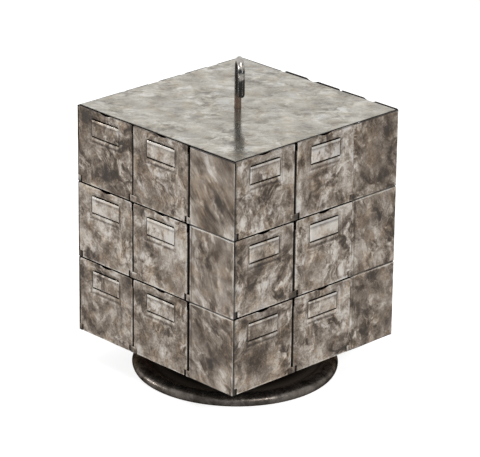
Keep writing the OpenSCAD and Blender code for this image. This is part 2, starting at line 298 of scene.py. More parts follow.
def thickened(name, mesh, thickness, ease=SHEET_EASE):
    """A piece from one side of a sheet: thick inwards from that side, its edges eased."""
    piece = new_piece(name, mesh)
    wall = piece.modifiers.new("thickness", "SOLIDIFY")
    wall.thickness = thickness
    wall.offset = -1
    wall.use_even_offset = True
    bevel = piece.modifiers.new("eased edges", "BEVEL")
    bevel.width = ease
    bevel.segments = 2
    bevel.limit_method = "ANGLE"
    bevel.angle_limit = EASED_FROM
    return settled(piece)


def joined(name, meshes):
    bm = bmesh.new()
    for mesh in meshes:
        bm.from_mesh(mesh)
    return made_mesh(name, bm)


def slab_mesh(name, low, high):
    """A flat bar of metal between two corners, with eased edges."""
    bm = bmesh.new()
    bmesh.ops.create_cube(bm, size=1)
    low, high = Vector(low), Vector(high)
    for vert in bm.verts:
        vert.co = Vector(low[k] + (vert.co[k] + 0.5) * (high[k] - low[k]) for k in range(3))
    bmesh.ops.bevel(bm, geom=bm.edges[:], offset=SLAB_EASE, segments=2, affect="EDGES", profile=0.5)
    return made_mesh(name, bm)


def tidy_mesh(mesh):
    """Closes a swept mesh's seam and turns its faces outwards."""
    bm = bmesh.new()
    bm.from_mesh(mesh)
    bmesh.ops.remove_doubles(bm, verts=bm.verts, dist=SAME_PLACE)
    bmesh.ops.recalc_face_normals(bm, faces=bm.faces)
    bm.to_mesh(mesh)
    bm.free()


def shaped(piece, group, **values):
    """The piece put through a geometry tree, whose inputs are set by the names that the tree gives them."""
    modifier = piece.modifiers.new(group.name, "NODES")
    modifier.node_group = group
    for item in group.interface.items_tree:
        key = item.name.replace(" ", "_")
        if item.in_out == "INPUT" and key in values:
            modifier[item.identifier] = values[key]
    return settled(piece)


def dress(piece, body, slot, *nodes):
    """Puts a finished piece in the frame: what carries it, its finish (not used), and the nodes it stands
    for.
    """
    piece.data.shade_smooth()
    piece.data.set_sharp_from_angle(angle=CRISP_FROM)
    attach(piece, body)
    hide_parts(*nodes)


# Node trees

def fill(sockets, values):
    """Sets inputs, picked by name or number, to values or to links."""
    for key, value in dict(values).items():
        if isinstance(value, bpy.types.NodeSocket):
            value.id_data.links.new(value, sockets[key])
        else:
            sockets[key].default_value = value


def node(tree, kind, inputs=(), **settings):
    """The outputs of a new node, made from its settings and from its inputs as values or links."""
    made = tree.nodes.new(kind)
    for name, value in settings.items():
        setattr(made, name, value)
    fill(made.inputs, inputs)
    return made.outputs


def maths(tree, operation, first, second=0.0, clamp=False):
    inputs = {0: first, 1: second}
    return node(tree, "ShaderNodeMath", inputs, operation=operation, use_clamp=clamp)[0]


def times(tree, first, second):
    return maths(tree, "MULTIPLY", first, second)


def total(tree, value, *terms, clamp=False):
    """The value with terms added to it, each given as two factors. Only the end result is clamped."""
    for i, (first, second) in enumerate(terms, 1):
        value = node(
            tree, "ShaderNodeMath", {0: first, 1: second, 2: value}, operation="MULTIPLY_ADD",
            use_clamp=clamp and i == len(terms))[0]
    return value


def vector_maths(tree, operation, *inputs, output="Vector"):
    return node(tree, "ShaderNodeVectorMath", enumerate(inputs), operation=operation)[output]


def upright(tree, x, z):
    return node(tree, "ShaderNodeCombineXYZ", {"X": x, "Z": z})[0]


def rise(tree, value, low, high, start=0.0, end=1.0):
    """A smooth change from start to end as the value goes from low to high."""
    return node(
        tree, "ShaderNodeMapRange",
        {"Value": value, "From Min": low, "From Max": high, "To Min": start, "To Max": end},
        interpolation_type="SMOOTHSTEP",
    )["Result"]


def blend_colour(tree, share, first, second, blend_type="MIX"):
    inputs = {0: share, 6: first, 7: second}
    return node(tree, "ShaderNodeMix", inputs, data_type="RGBA", blend_type=blend_type)[2]


def noise(tree, place, scale, detail=4.0, rough=0.55, twist=0.0, output="Fac"):
    return node(
        tree, "ShaderNodeTexNoise",
        {"Vector": place, "Scale": scale, "Detail": detail, "Roughness": rough, "Distortion": twist},
    )[output]


def mark(tree, name, output="Fac"):
    return node(tree, "ShaderNodeAttribute", attribute_name=name)[output]


def grey(colour):
    """A colour given as on screen, from 0 to 255, as the light it sends back."""
    parts = [c / 255 for c in colour]
    return tuple(c / 12.92 if c <= 0.04045 else ((c + 0.055) / 1.055) ** 2.4 for c in parts) + (1.0,)


def new_group(name, kind, inputs, outputs):
    """A node group from its inputs and outputs, each given as a name and a kind, and inputs with a value."""
    tree = bpy.data.node_groups.new(name, kind + "NodeTree")
    for label, socket_kind, *value in inputs:
        socket = tree.interface.new_socket(name=label, in_out="INPUT", socket_type="NodeSocket" + socket_kind)
        if value:
            socket.default_value = value[0]
    for label, socket_kind in outputs:
        tree.interface.new_socket(name=label, in_out="OUTPUT", socket_type="NodeSocket" + socket_kind)
    return tree, tree.nodes.new("NodeGroupInput").outputs, tree.nodes.new("NodeGroupOutput").inputs


def use_group(tree, group, inputs):
    return node(tree, "ShaderNodeGroup", inputs, node_tree=group)


def finish_shape(tree, shape, material, out):
    """Ends a geometry tree: its instances made real, its material set."""
    real = node(tree, "GeometryNodeRealizeInstances", {"Geometry": shape})["Geometry"]
    done = node(tree, "GeometryNodeSetMaterial", {"Geometry": real, "Material": material})["Geometry"]
    fill(out, {0: done})
    return tree


# Effects that more than one finish uses

def rubbed_group():
    """Clouds, mottling, wisps and stains left by handling and by a wire brush, round a tone of 0.5."""
    tree, given, out = new_group(
        "rubbed metal", "Shader",
        [("Place", "Vector"), ("Turn", "Float", 0.0), ("Cloud Scale", "Float", 30.0),
         ("Mottle Scale", "Float", 90.0), ("Stretch", "Float", 0.7), ("Contrast", "Float", 1.0),
         ("Crispness", "Float", 1.0)],
        [("Tone", "Float"), ("Grain", "Float"), ("Scratches", "Float")],
    )
    place, crispness = given["Place"], given["Crispness"]
    turned = node(
        tree, "ShaderNodeVectorRotate", {"Vector": place, "Angle": given["Turn"]}, rotation_type="Y_AXIS")[0]
    squash = node(tree, "ShaderNodeCombineXYZ", {"X": 1.0, "Y": 1.0, "Z": given["Stretch"]})[0]
    along = vector_maths(tree, "MULTIPLY", turned, squash)
    swirl = vector_maths(tree, "SUBTRACT", noise(tree, place, 26.0, 2.0, output="Color"), (0.5, 0.5, 0.5))
    swirl = vector_maths(tree, "MULTIPLY", swirl, times(tree, crispness, 0.04))
    bent = vector_maths(tree, "ADD", along, swirl)
    aside = vector_maths(tree, "ADD", bent, (2.3, 4.1, 1.2))
    clouds = noise(tree, place, given["Cloud Scale"], 2.0, 0.5)
    rough = rise(tree, crispness, 0.0, 1.0, 0.5, 0.62)
    mottle = noise(tree, bent, given["Mottle Scale"], 6.0, rough)
    wisps = rise(tree, noise(tree, bent, 78.0, 6.0, rough), 0.53, 0.62)
    stains = rise(tree, noise(tree, aside, 50.0, 6.0, rough), 0.53, 0.63)
    specks = maths(tree, "SUBTRACT", noise(tree, place, 360.0, 3.0, 0.65), 0.5)
    busy = rise(tree, noise(tree, place, 16.0, 1.0), 0.38, 0.62, 0.55, 1.25)
    rubbing = total(tree, -0.28, (mottle, 0.56), (wisps, 0.09), (stains, -0.1))
    uneven = total(tree, -0.2, (rubbing, busy), (clouds, 0.4), (times(tree, crispness, specks), 0.24))
    brush = vector_maths(tree, "MULTIPLY", turned, (850.0, 850.0, 90.0))
    fill(out, {
        "Tone": total(tree, 0.5, (uneven, given["Contrast"])), "Grain": noise(tree, brush, 2.2, 2.0),
        "Scratches": rise(tree, noise(tree, brush, 1.0, 2.0), 0.62, 0.72),
    })
    return tree


def worn_edge_group():
    """Where hands and neighbours have rubbed an edge bright, given the distance to the edge in mm."""
    tree, given, out = new_group(
        "worn edge", "Shader", [("Place", "Vector"), ("Distance", "Float", 1.0), ("Width", "Float", 1.0)],
        [("Wear", "Float")],
    )
    ragged = noise(tree, given["Place"], 48.0, 4.0, 0.62)
    reach = times(tree, given["Width"], rise(tree, ragged, 0.4, 0.66, 0.25, 3.4))
    share = maths(tree, "DIVIDE", given["Distance"], reach)
    fill(out, {"Wear": rise(tree, share, 0.25, 1.0, 1.0, 0.0)})
    return tree


def oxide_group():
    """Patches of brown rust and of cold grey scale, and small dark spots."""
    tree, given, out = new_group(
        "oxide", "Shader", [("Place", "Vector")], [("Brown", "Float"), ("Cold", "Float"), ("Spots", "Float")],
    )
    place = given["Place"]
    aside = vector_maths(tree, "ADD", place, (3.1, 1.7, 5.3))
    dots = node(tree, "ShaderNodeTexVoronoi", {"Vector": place, "Scale": 46.0})["Distance"]
    few = rise(tree, noise(tree, aside, 30.0, 2.0), 0.5, 0.58)
    fill(out, {
        "Brown": rise(tree, noise(tree, place, 42.0, 5.0, 0.6, 0.4), 0.49, 0.62),
        "Cold": rise(tree, noise(tree, aside, 34.0, 4.0, 0.55, 0.3), 0.5, 0.62),
        "Spots": times(tree, rise(tree, dots, 0.03, 0.085, 1.0, 0.0), few),
    })
    return tree


RUBBED = rubbed_group()
WORN_EDGE = worn_edge_group()
OXIDE = oxide_group()


# Finishes

def new_material(name):
    material = bpy.data.materials.new(name)
    material.use_nodes = True
    tree = material.node_tree
    shader = tree.nodes["Principled BSDF"]
    return material, tree, shader


def tone_colours(tree, tone, stops):
    ramp = tree.nodes.new("ShaderNodeValToRGB")
    fill(ramp.inputs, {"Fac": tone})
    ramp.color_ramp.interpolation = "B_SPLINE"
    points = ramp.color_ramp.elements
    while len(points) < len(stops):
        points.new(0.5)
    for point, (place, colour) in zip(points, stops):
        point.position = place
        point.color = grey(colour)
    return ramp.outputs["Color"]


def bumped(tree, shader, height, distance):
    bump = node(tree, "ShaderNodeBump", {"Height": height, "Distance": distance})
    fill(shader.inputs, {"Normal": bump["Normal"]})


def tinted(tree, share, colour, tint):
    """The colour, or as much of it as the share says, seen through a tint."""
    return blend_colour(tree, share, colour, grey(tint), "MULTIPLY")


def sheet_steel(name, stops, turn, cloud=30.0, rough=(0.52, 0.3), edge_width=1.2):
    """Bare sheet steel gone grey and brown, rubbed light in patches and along its edges."""
    material, tree, shader = new_material(name)
    place = mark(tree, "place", "Vector")
    streak, inside, grime = (mark(tree, field) for field in ("streak", "inside", "grime"))
    rub = use_group(tree, RUBBED, {
        "Place": place, "Turn": maths(tree, "ADD", mark(tree, "swing"), turn), "Cloud Scale": cloud,
        "Mottle Scale": 88.0, "Stretch": rise(tree, streak, 0.0, 1.0, 0.75, 0.3),
        "Contrast": rise(tree, streak, 0.0, 1.0, 1.0, 0.72),
        "Crispness": rise(tree, streak, 0.0, 1.0, 1.0, 0.35),
    })
    wear = use_group(tree, WORN_EDGE, {"Place": place, "Distance": mark(tree, "edge"), "Width": edge_width})
    oxide = use_group(tree, OXIDE, {"Place": place})
    ragged = rise(tree, noise(tree, place, 85.0, 4.0, 0.6), 0.36, 0.62, 0.4, 1.3)
    tone = total(
        tree, rub["Tone"], (mark(tree, "tone"), 1.0), (mark(tree, "patch"), ragged), (rub["Scratches"], 0.05),
        (wear["Wear"], 0.11), (oxide["Spots"], -0.14),
    )
    colour = tone_colours(tree, tone, stops)
    colour = tinted(tree, times(tree, oxide["Brown"], 0.5), colour, (246, 232, 214))
    colour = tinted(tree, times(tree, oxide["Cold"], 0.5), colour, (238, 241, 248))
    # The inside mark paints shade: inner sides seen through gaps and in open bins, and the plate's underside,
    # are tinted darker.
    colour = tinted(tree, inside, colour, (168, 156, 142))
    gloss = rise(tree, tone, 0.36, 0.64, *rough)
    metal = rise(tree, tone, 0.32, 0.55, 0.72, 0.95)
    # Painted shade: seams, gaps, creases and the plate's underside blend towards a dark colour and grow
    # duller and less metallic.
    fill(shader.inputs, {
        "Base Color": blend_colour(tree, grime, colour, grey(SHADE_COLOUR)),
        "Roughness": total(tree, gloss, (inside, 0.12), (grime, 0.3), clamp=True),
        "Metallic": total(tree, metal, (grime, -0.6), clamp=True),
    })
    height = total(tree, rub["Tone"], (rub["Grain"], 0.12), (rub["Scratches"], -0.1), (oxide["Spots"], -0.25))
    bumped(tree, shader, height, 0.22 * MM)
    return material


BIN_STOPS = [
    (0.34, (60, 53, 47)), (0.42, (98, 87, 77)), (0.5, (136, 124, 112)),
    (0.57, (165, 155, 144)), (0.66, (204, 199, 192)),
]
TOP_STOPS = [
    (0.34, (98, 92, 81)), (0.42, (137, 131, 119)), (0.5, (167, 162, 150)),
    (0.58, (188, 184, 174)), (0.68, (212, 210, 202)),
]


def plain_metal(name, dark, light, rough, metallic, bump, cloud=40.0):
    """Solid metal with a mottled surface, for castings, rod and hardware."""
    material, tree, shader = new_material(name)
    place = node(tree, "ShaderNodeTexCoord")["Object"]
    clouds = rise(tree, noise(tree, place, cloud, 6.0, 0.6, 0.4), 0.32, 0.68)
    pits = noise(tree, place, 900.0, 3.0, 0.6)
    grain = noise(tree, place, 260.0, 4.0, 0.6)
    colour = blend_colour(tree, clouds, grey(dark), grey(light))
    gloss = rise(tree, grain, 0.3, 0.7, *rough)
    fill(shader.inputs, {"Base Color": colour, "Roughness": gloss, "Metallic": metallic})
    bumped(tree, shader, maths(tree, "ADD", pits, grain), bump)
    return material, tree, shader, place, colour


def rod_steel(name):
    """Black half-polished rod, worn to bare steel on its bend and painted light grey there as its highlights,
    and brown where it meets the top plate.
    """
    material, tree, shader, place, colour = plain_metal(
        name, (12, 11, 10), (30, 27, 25), (0.12, 0.26), 0.0, 0.015 * MM, 90.0)
    height = node(tree, "ShaderNodeSeparateXYZ", {0: place})["Z"]
    ragged = noise(tree, place, 150.0, 3.0)
    lifted = total(tree, height, (maths(tree, "SUBTRACT", ragged, 0.5), 16 * MM))
    rust = rise(tree, lifted, PLATE_TOP + 12 * MM, PLATE_TOP + 26 * MM, 0.9, 0.0)
    direction = (math.cos(HOOK_TURN), math.sin(HOOK_TURN), 0.0)
    reach = vector_maths(tree, "DOT_PRODUCT", place, direction, output="Value")
    on_leg = rise(tree, reach, HOOK_R, HOOK_R + 6 * MM)
    # Bare steel rubbed through at the crown and in a ring on the leg, painted light grey to stand for the
    # highlights seen there.
    ring = times(
        tree, rise(tree, lifted, BEND_Z - 5 * MM, BEND_Z + 4 * MM),
        rise(tree, lifted, BEND_Z + 4 * MM, BEND_Z + 6 * MM, 1.0, 0.0))
    crown = rise(tree, lifted, BEND_Z + 9 * MM, BEND_Z + 17 * MM)
    worn = maths(tree, "MAXIMUM", crown, times(tree, on_leg, ring))
    worn = times(tree, worn, rise(tree, ragged, 0.34, 0.56, 0.35, 0.9))
    colour = blend_colour(tree, rust, colour, grey((94, 76, 64)))
    fill(shader.inputs, {
        "Base Color": blend_colour(tree, worn, colour, grey((178, 173, 166))), "Metallic": worn, "IOR": 1.45,
        "Roughness": total(tree, rise(tree, ragged, 0.3, 0.7, 0.1, 0.24), (rust, 0.25)),
    })
    return material


def black_iron(name):
    """Casting with a dark, half-glossy skin on its bead, and dull inside it, where painted shade turns it
    black towards the hub under the cabinet.
    """
    material, tree, shader, place, colour = plain_metal(
        name, (62, 58, 54), (114, 108, 103), (0.22, 0.42), 1.0, 0.1 * MM, 60.0)
    level = vector_maths(tree, "MULTIPLY", place, (1.0, 1.0, 0.0))
    reach = vector_maths(tree, "LENGTH", level, output="Value")
    polished = rise(tree, reach, BASE_R - 26 * MM, BASE_R - 11 * MM, 0.0, 0.88)
    # Painted shade: the dish's colour darkens from the bead in towards the hub.
    shaded_dish = rise(tree, reach, BASE_R - 50 * MM, BASE_R - 16 * MM)
    shaded_dish = blend_colour(tree, shaded_dish, grey((32, 28, 24)), grey((96, 86, 77)))
    fill(shader.inputs, {
        "Base Color": blend_colour(tree, polished, shaded_dish, colour), "Metallic": polished,
        "Specular Tint": grey((140, 135, 130)), "Specular IOR Level": 0.0,
    })
    return material


def inner_steel(name):
    """Dull sheet inside the cabinet, painted black with shade at the edges that show in the seams."""
    material, tree, shader, place, colour = plain_metal(
        name, (70, 64, 58), (112, 104, 95), (0.44, 0.6), 0.85, 0.05 * MM, 30.0)
    parts = node(tree, "ShaderNodeSeparateXYZ", {0: place})
    reach = maths(tree, "MAXIMUM", maths(tree, "ABSOLUTE", parts["X"]), maths(tree, "ABSOLUTE", parts["Y"]))
    shade = rise(tree, reach, HALF_W - 9 * MM, HALF_W - 2 * MM)
    fill(shader.inputs, {
        "Base Color": blend_colour(tree, shade, colour, grey(SHADE_COLOUR)),
        "Metallic": rise(tree, shade, 0.0, 1.0, 0.85, 0.3),
    })
    return material


STEEL = sheet_steel("bin_steel_worn", BIN_STOPS, turn=0.2)
CARCASS = sheet_steel("carcass_steel_worn", BIN_STOPS, turn=0.6, edge_width=1.0)
TOP = sheet_steel("top_steel_rubbed", TOP_STOPS, turn=math.radians(-44), cloud=26.0, rough=(0.2, 0.1))
IRON = black_iron("cast_iron_black")
ROD = rod_steel("hook_steel_dark")
HARDWARE = plain_metal("hardware_zinc", (96, 92, 86), (138, 134, 127), (0.32, 0.46), 0.95, 0.04 * MM)[0]
RACE = plain_metal("race_steel_bright", (120, 117, 112), (158, 155, 149), (0.2, 0.32), 1.0, 0.02 * MM)[0]
BRASS = plain_metal("bearing_brass", (120, 92, 50), (168, 134, 80), (0.26, 0.4), 1.0, 0.03 * MM)[0]
INNER = inner_steel("inner_steel")


# Bins

def finger_depth(u):
    """How far the finger notch cuts into the front's top edge."""
    radius = ((FINGER_W / 2) ** 2 + FINGER_D ** 2) / (2 * FINGER_D)
    return max(0.0, math.sqrt(max(0.0, radius ** 2 - u ** 2)) - (radius - FINGER_D))


def label_crease(s, z):
    """1 in the crease beside each end of the label plate, and 0 away from it."""
    beside = math.exp(-(((abs(s) - LABEL_W / 2 - 0.9 * MM) / (0.8 * MM)) ** 2))
    return beside * float(smooth(z, LOWER_SLIT_Z - 1 * MM, LOWER_SLIT_Z + 2 * MM)) * (z < UPPER_SLIT_Z)


def thumb_dish(s, z):
    """How far the sheet is pressed inwards under the finger notch."""
    return DISH_D * np.exp(-((s / DISH_W) ** 2)) * smooth(z, FRONT_TOP - 9 * MM, FRONT_TOP - 1 * MM)


def field_inset(s, z):
    """How far a place lies inside the field that is pressed in round the label plate."""
    return least(LABEL_W / 2 + 4 * MM - np.abs(s), UPPER_SLIT_Z + 4.5 * MM - z, z - LOWER_SLIT_Z + 8 * MM)


def front_relief(s, z):
    """How far the sheet is pressed inwards at a place on the front."""
    end = LABEL_W / 2 - abs(s)
    under_top = LABEL_TOP - z
    over_foot = z - LABEL_FOOT
    relief = 0.35 * MM * label_crease(s, z) + FIELD_D * float(smooth(field_inset(s, z), -0.8 * MM, 0.8 * MM))
    if end > 0 and min(under_top, over_foot) >= -SLIT_ROOM:
        out = float(smooth(end, 0, LABEL_RAMP))
        relief -= LABEL_PROUD * out
        relief += 0.75 * LABEL_PROUD * out * max(0.0, 1 - under_top / LABEL_MARGIN)
        relief += 1.2 * MM * out * max(0.0, 1 - over_foot / (2 * MM)) ** 2
    elif end > 0:
        below = -over_foot - LOWER_SLIT_H
        above = -under_top - UPPER_SLIT_H
        lip = max(0.0, 1 - below / LABEL_LIP) if below >= -SLIT_ROOM else max(0.0, 1 - above / (3 * MM))
        relief += 0.9 * MM * lip * float(smooth(end, 0, 3 * MM))
    return relief + float(thumb_dish(s, z))


def front_point(s, z):
    """A point on a front's outer side: s along the bent sheet from its middle, z up."""
    flat = FRONT_W / 2 - RETURN_R
    beyond = abs(s) - flat
    u, v = s, 0.0
    if beyond > 0 and z < SIDE_TOP:
        turn = min(beyond / RETURN_R, math.pi / 2)
        u = math.copysign(flat + RETURN_R * math.sin(turn), s)
        v = RETURN_R * (1 - math.cos(turn)) + max(0.0, beyond - RETURN_R * math.pi / 2)
    top_from = UPPER_SLIT_Z + UPPER_SLIT_H / 2 + 1 * MM
    if z > top_from:
        tongue = FRONT_W / 2 - TONGUE_INSET
        drop = finger_depth(u) + 1.2 * MM * float(smooth(abs(u), tongue - 1.5 * MM, tongue))
        z -= drop * (z - top_from) / (FRONT_TOP - top_from)
    return u, v + front_relief(s, z), z


def front_kept(s, z):
    """Whether the sheet is there: not in the slits, beside the tongue or in the lower corners."""
    half = FRONT_W / 2
    if z < NOTCH_TOP and abs(s) > half - NOTCH_W:
        return False
    if z > SIDE_TOP and abs(s) > half - TONGUE_INSET:
        return False
    in_slit = abs(z - UPPER_SLIT_Z) < UPPER_SLIT_H / 2 or abs(z - LOWER_SLIT_Z) < LOWER_SLIT_H / 2
    return not (in_slit and abs(s) < LABEL_W / 2)


def front_mesh():
    flat = FRONT_W / 2 - RETURN_R
    bend = RETURN_R * math.pi / 2
    label_steps = (-2.5, -1.9, -1.2, -0.5, 0, 0.5, 0.9, 1.3, 2, 3.2, 4, 4.8)
    across = lines(
        [0.0]
        + around(*(FINGER_W / 2 * i / 5 for i in range(1, 6)))
        + around(*(LABEL_W / 2 + d * MM for d in label_steps))
        + around(FRONT_W / 2 - NOTCH_W, flat, FRONT_W / 2 - TONGUE_INSET)
        + around(*(flat + bend * i / 4 for i in range(1, 5)), flat + bend + RETURN_D - RETURN_R),
        FRONT_STEP,
    )
    up = [FRONT_FOOT, NOTCH_TOP, SIDE_TOP, FRONT_TOP, FRONT_TOP - 2 * MM, FRONT_TOP - 4 * MM]
    for level, steps in [
        (LOWER_SLIT_Z - LOWER_SLIT_H / 2, (0, -0.6, -1.2, -2, -2.9, -4.2, -5, -5.4, -5.8, -6.6, -7.2, -8)),
        (LABEL_FOOT, (0, 0.5, 1, 2)),
        (LABEL_TOP, (0, -0.5, -1, -1.6, -2.1, -2.9, -3.6, -4.2)),
        (UPPER_SLIT_Z, (UPPER_SLIT_H / 2 / MM, 3.7, 4.5, 5.3)),
    ]:
        up += [level + d * MM for d in steps]
    return sheet_mesh("front", across, lines(up, FRONT_STEP), front_point, front_kept)


def tray_mesh():
    """Sides and back of a bin in one bent sheet, rounded under into the floor."""
    half = (FRONT_W - 2 * NOTCH_W) / 2
    r = TRAY_CORNER_R
    plan = [(half, v) for v in lines([0.6 * MM, TRAY_D - r], TRAY_STEP)]
    plan += arc((half - r, TRAY_D - r), r, 0, 90, 5)[1:]
    plan += [(u, TRAY_D) for u in lines([0, half - r], TRAY_STEP)[:0:-1]][1:]
    plan += [(0.0, TRAY_D)] + [(-u, v) for u, v in reversed(plan)]
    levels = [(z, 0.0) for z in reversed(lines([TRAY_Z + BEND_R, SIDE_TOP], TRAY_STEP))]
    turns = [math.pi / 8 * i for i in range(1, 5)]
    levels += [(TRAY_Z + BEND_R - BEND_R * math.sin(a), BEND_R * (1 - math.cos(a))) for a in turns]
    bm = bmesh.new()
    rows = []
    for z, inset in levels:
        shrink = (half - inset) / half
        rows.append([bm.verts.new((u * shrink, v - inset * v / TRAY_D, z)) for u, v in plan])
    skin(bm, rows, closed=False)
    bm.faces.new(list(reversed(rows[-1])))
    return made_mesh("tray", bm)


def weld_tree():
    """Rows of spot welds up both sides of a bin's front, joined to it."""
    tree, given, out = new_group(
        "spot welds", "Geometry",
        [("Bin", "Geometry"), ("Count", "Int"), ("Side", "Float"), ("Lowest", "Float"), ("Pitch", "Float"),
         ("Radius", "Float"), ("Material", "Material")],
        [("Bin", "Geometry")],
    )
    ball = node(tree, "GeometryNodeMeshUVSphere", {"Segments": 10, "Rings": 6, "Radius": given["Radius"]})
    button = node(
        tree, "GeometryNodeTransform", {"Geometry": ball["Mesh"], "Scale": (1.0, WELD_FLATNESS, 1.0)})
    pitch = upright(tree, 0.0, given["Pitch"])
    join = tree.nodes.new("GeometryNodeJoinGeometry")
    fill(join.inputs, {"Geometry": given["Bin"]})
    for side in (-1, 1):
        start = upright(tree, times(tree, given["Side"], side), given["Lowest"])
        row = node(tree, "GeometryNodeMeshLine", {
            "Count": given["Count"], "Start Location": start, "Offset": pitch})
        put = node(tree, "GeometryNodeInstanceOnPoints", {
            "Points": row["Mesh"], "Instance": button["Geometry"]})
        fill(join.inputs, {"Geometry": put["Instances"]})
    return finish_shape(tree, join.outputs["Geometry"], given["Material"], out)


def bin_form():
    """One bin in its own frame: u from its middle, v inwards from its face, z from its tier's foot."""
    parts = [thickened("front", front_mesh(), SHEET), thickened("tray", tray_mesh(), SHEET)]
    whole = new_piece("bin_form", joined("bin_form", [part.data for part in parts]))
    shaped(whole, weld_tree(), Count=4, Side=FRONT_W / 2 - WELD_INSET, Lowest=WELD_LOWEST, Pitch=WELD_PITCH,
           Radius=WELD_R, Material=STEEL)
    mesh = whole.data
    for piece in (*parts, whole):
        bpy.data.objects.remove(piece)
    return mesh


# How bright each label plate is rubbed, from 0 to 1, where it isn't the usual shine
PLATE_SHINE = {
    "upper_front_b": 1.0, "middle_front_a": 1.0, "middle_front_b": 1.0, "lower_front_b": 0.5,
    "upper_right_a": 0.25, "upper_right_b": 0.9, "middle_right_b": 0.95, "middle_right_a": 0.7,
    "upper_front_a": 0.05, "lower_right_a": 0.3,
}
USUAL_SHINE = 0.4
# How much lighter or darker a bin's front is than the others
FRONT_TONE = {
    "upper_front_a": -0.06, "upper_right_b": 0.015, "middle_front_b": 0.02,
    "upper_right_a": 0.02, "middle_right_b": 0.015, "lower_front_a": -0.01,
}
# How much lighter or darker a panel is
PANEL_TONE = {
    "upper_front": -0.01, "middle_front": -0.01, "lower_front": -0.035,
    "upper_right": -0.045, "middle_right": -0.015, "lower_right": -0.03,
}
# How far a panel's rubbing runs in one direction, from 0 to 1
PANEL_STREAK = {"upper_front": 0.85, "middle_front": 0.6, "lower_front": 0.5}
# How far a front stands to the right of its bay's middle, and how much is off its right edge, in mm
FRONT_SHIFT = {"upper_front_b": -1.0, "middle_front_b": -1.0, "lower_front_b": -1.0,
               "upper_right_b": 0.9, "middle_right_b": 0.9, "lower_right_b": 0.9}
RIGHT_TRIM = {"upper_front_b": 1.3, "middle_front_b": 1.9, "lower_front_b": 1.6}

# Patches of darker oxide and of rubbed steel, in mm: across from the middle of a front or panel,
# up from its tier's foot, half length, half width, lean in degrees from upright, and tone
PATCHES = {
    "upper_front_a": [
        (-40, 92, 16, 9, 0, -0.09), (8, 28, 14, 22, 0, -0.09), (32, 12, 10, 16, 0, 0.07),
        (48, 60, 40, 4, 0, 0.08), (-8, 50, 12, 22, 0, 0.03)],
    "upper_front_b": [(-16, 64, 9, 14, 0, -0.06), (20, 36, 10, 8, 20, -0.08), (41, 72, 4, 4, 0, -0.1)],
    "upper_front_panel": [
        (-22, 34, 12, 9, 10, 0.08), (5, 40, 22, 4, -30, 0.08), (16, 34, 22, 4, -30, -0.08),
        (-20, 86, 14, 12, 0, -0.06)],
    "middle_front_a": [
        (-42, 60, 30, 7, 0, -0.07), (-3, 46, 12, 11, 0, 0.12), (16, 34, 12, 12, 0, -0.06),
        (46, 50, 36, 4, 0, 0.06)],
    "middle_front_b": [(38, 76, 26, 11, 0, 0.08), (-6, 20, 12, 10, 10, -0.11), (34, 22, 10, 14, 0, 0.06)],
    "middle_front_panel": [(-12, 72, 26, 6, -30, -0.07), (8, 56, 30, 8, -20, 0.04)],
    "lower_front_a": [
        (-24, 14, 14, 26, 0, -0.11), (4, 56, 8, 18, 0, -0.06), (40, 50, 40, 8, 0, 0.06),
        (0, 104, 5, 50, 0, 0.05)],
    "lower_front_b": [(-38, 84, 17, 10, -15, -0.1), (-40, 10, 10, 10, 0, 0.08), (18, 42, 14, 12, 0, 0.03)],
    "lower_front_panel": [
        (14, 72, 16, 18, 0, -0.05), (-10, 24, 20, 22, 0, -0.05), (-6, 46, 7, 7, 0, 0.05),
        (0, 102, 6, 38, 0, 0.04)],
    "upper_right_a": [
        (28, 54, 8, 13, 0, -0.07), (-4, 46, 7, 10, 0, -0.04), (20, 30, 6, 8, 0, -0.05),
        (-41, 70, 30, 7, 0, -0.04), (-46, 96, 14, 8, 0, 0.07), (10, 18, 12, 26, 0, 0.04)],
    "upper_right_b": [
        (-48, 40, 34, 5, 0, 0.1), (40, 84, 18, 4, 0, 0.11), (50, 74, 24, 3, -6, 0.12),
        (2, 57, 6, 30, -8, -0.09), (-20, 18, 14, 22, 0, -0.08), (18, 20, 10, 10, 30, 0.06)],
    "upper_right_panel": [
        (20, 88, 16, 9, 0, -0.11), (16, 22, 16, 16, 0, -0.08), (30, 46, 14, 10, 0, -0.08),
        (-36, 40, 50, 6, 0, 0.08)],
    "middle_right_a": [
        (-40, 88, 22, 9, 0, -0.1), (42, 90, 20, 6, 8, -0.04), (-6, 62, 5, 18, -6, -0.07),
        (34, 34, 9, 12, 0, -0.06), (-43, 42, 6, 8, 0, 0.1), (48, 14, 12, 6, 0, 0.08)],
    "middle_right_b": [
        (41, 100, 12, 12, 0, 0.13), (38, 50, 7, 8, 0, -0.06), (10, 32, 10, 14, 0, -0.06),
        (50, 30, 22, 5, 10, 0.09), (36, 12, 7, 10, 0, 0.08)],
    "middle_right_panel": [(6, 68, 12, 12, 0, -0.09), (30, 24, 22, 9, 0, -0.09), (0, 50, 18, 10, 0, 0.04)],
    "lower_right_a": [
        (-8, 42, 30, 24, 0, -0.07), (-36, 98, 8, 9, 0, -0.09), (-42, 78, 14, 6, 0, 0.08),
        (30, 62, 6, 18, 0, -0.07), (40, 84, 22, 12, 0, 0.05)],
    "lower_right_b": [
        (46, 8, 8, 10, 0, -0.1), (4, 28, 12, 14, 0, -0.05), (4, 54, 6, 8, 0, 0.05),
        (-34, 100, 6, 18, 0, 0.06)],
    "lower_right_panel": [(-24, 88, 12, 10, 0, -0.06), (-6, 96, 9, 8, 0, -0.08), (0, 14, 14, 40, 0, -0.06)],
    "top": [
        (-15, 15, 26, 34, 0, 0.03), (60, 100, 30, 14, -45, -0.05), (-90, -60, 34, 12, -45, -0.06),
        (-60, 90, 26, 10, -45, -0.05), (100, -20, 30, 10, -45, -0.05), (130, -128, 22, 16, -45, -0.04),
        (112, -112, 40, 34, 45, 0.03), (34, 10, 16, 12, -45, -0.06), (-6, 30, 18, 8, -45, -0.05)],
}


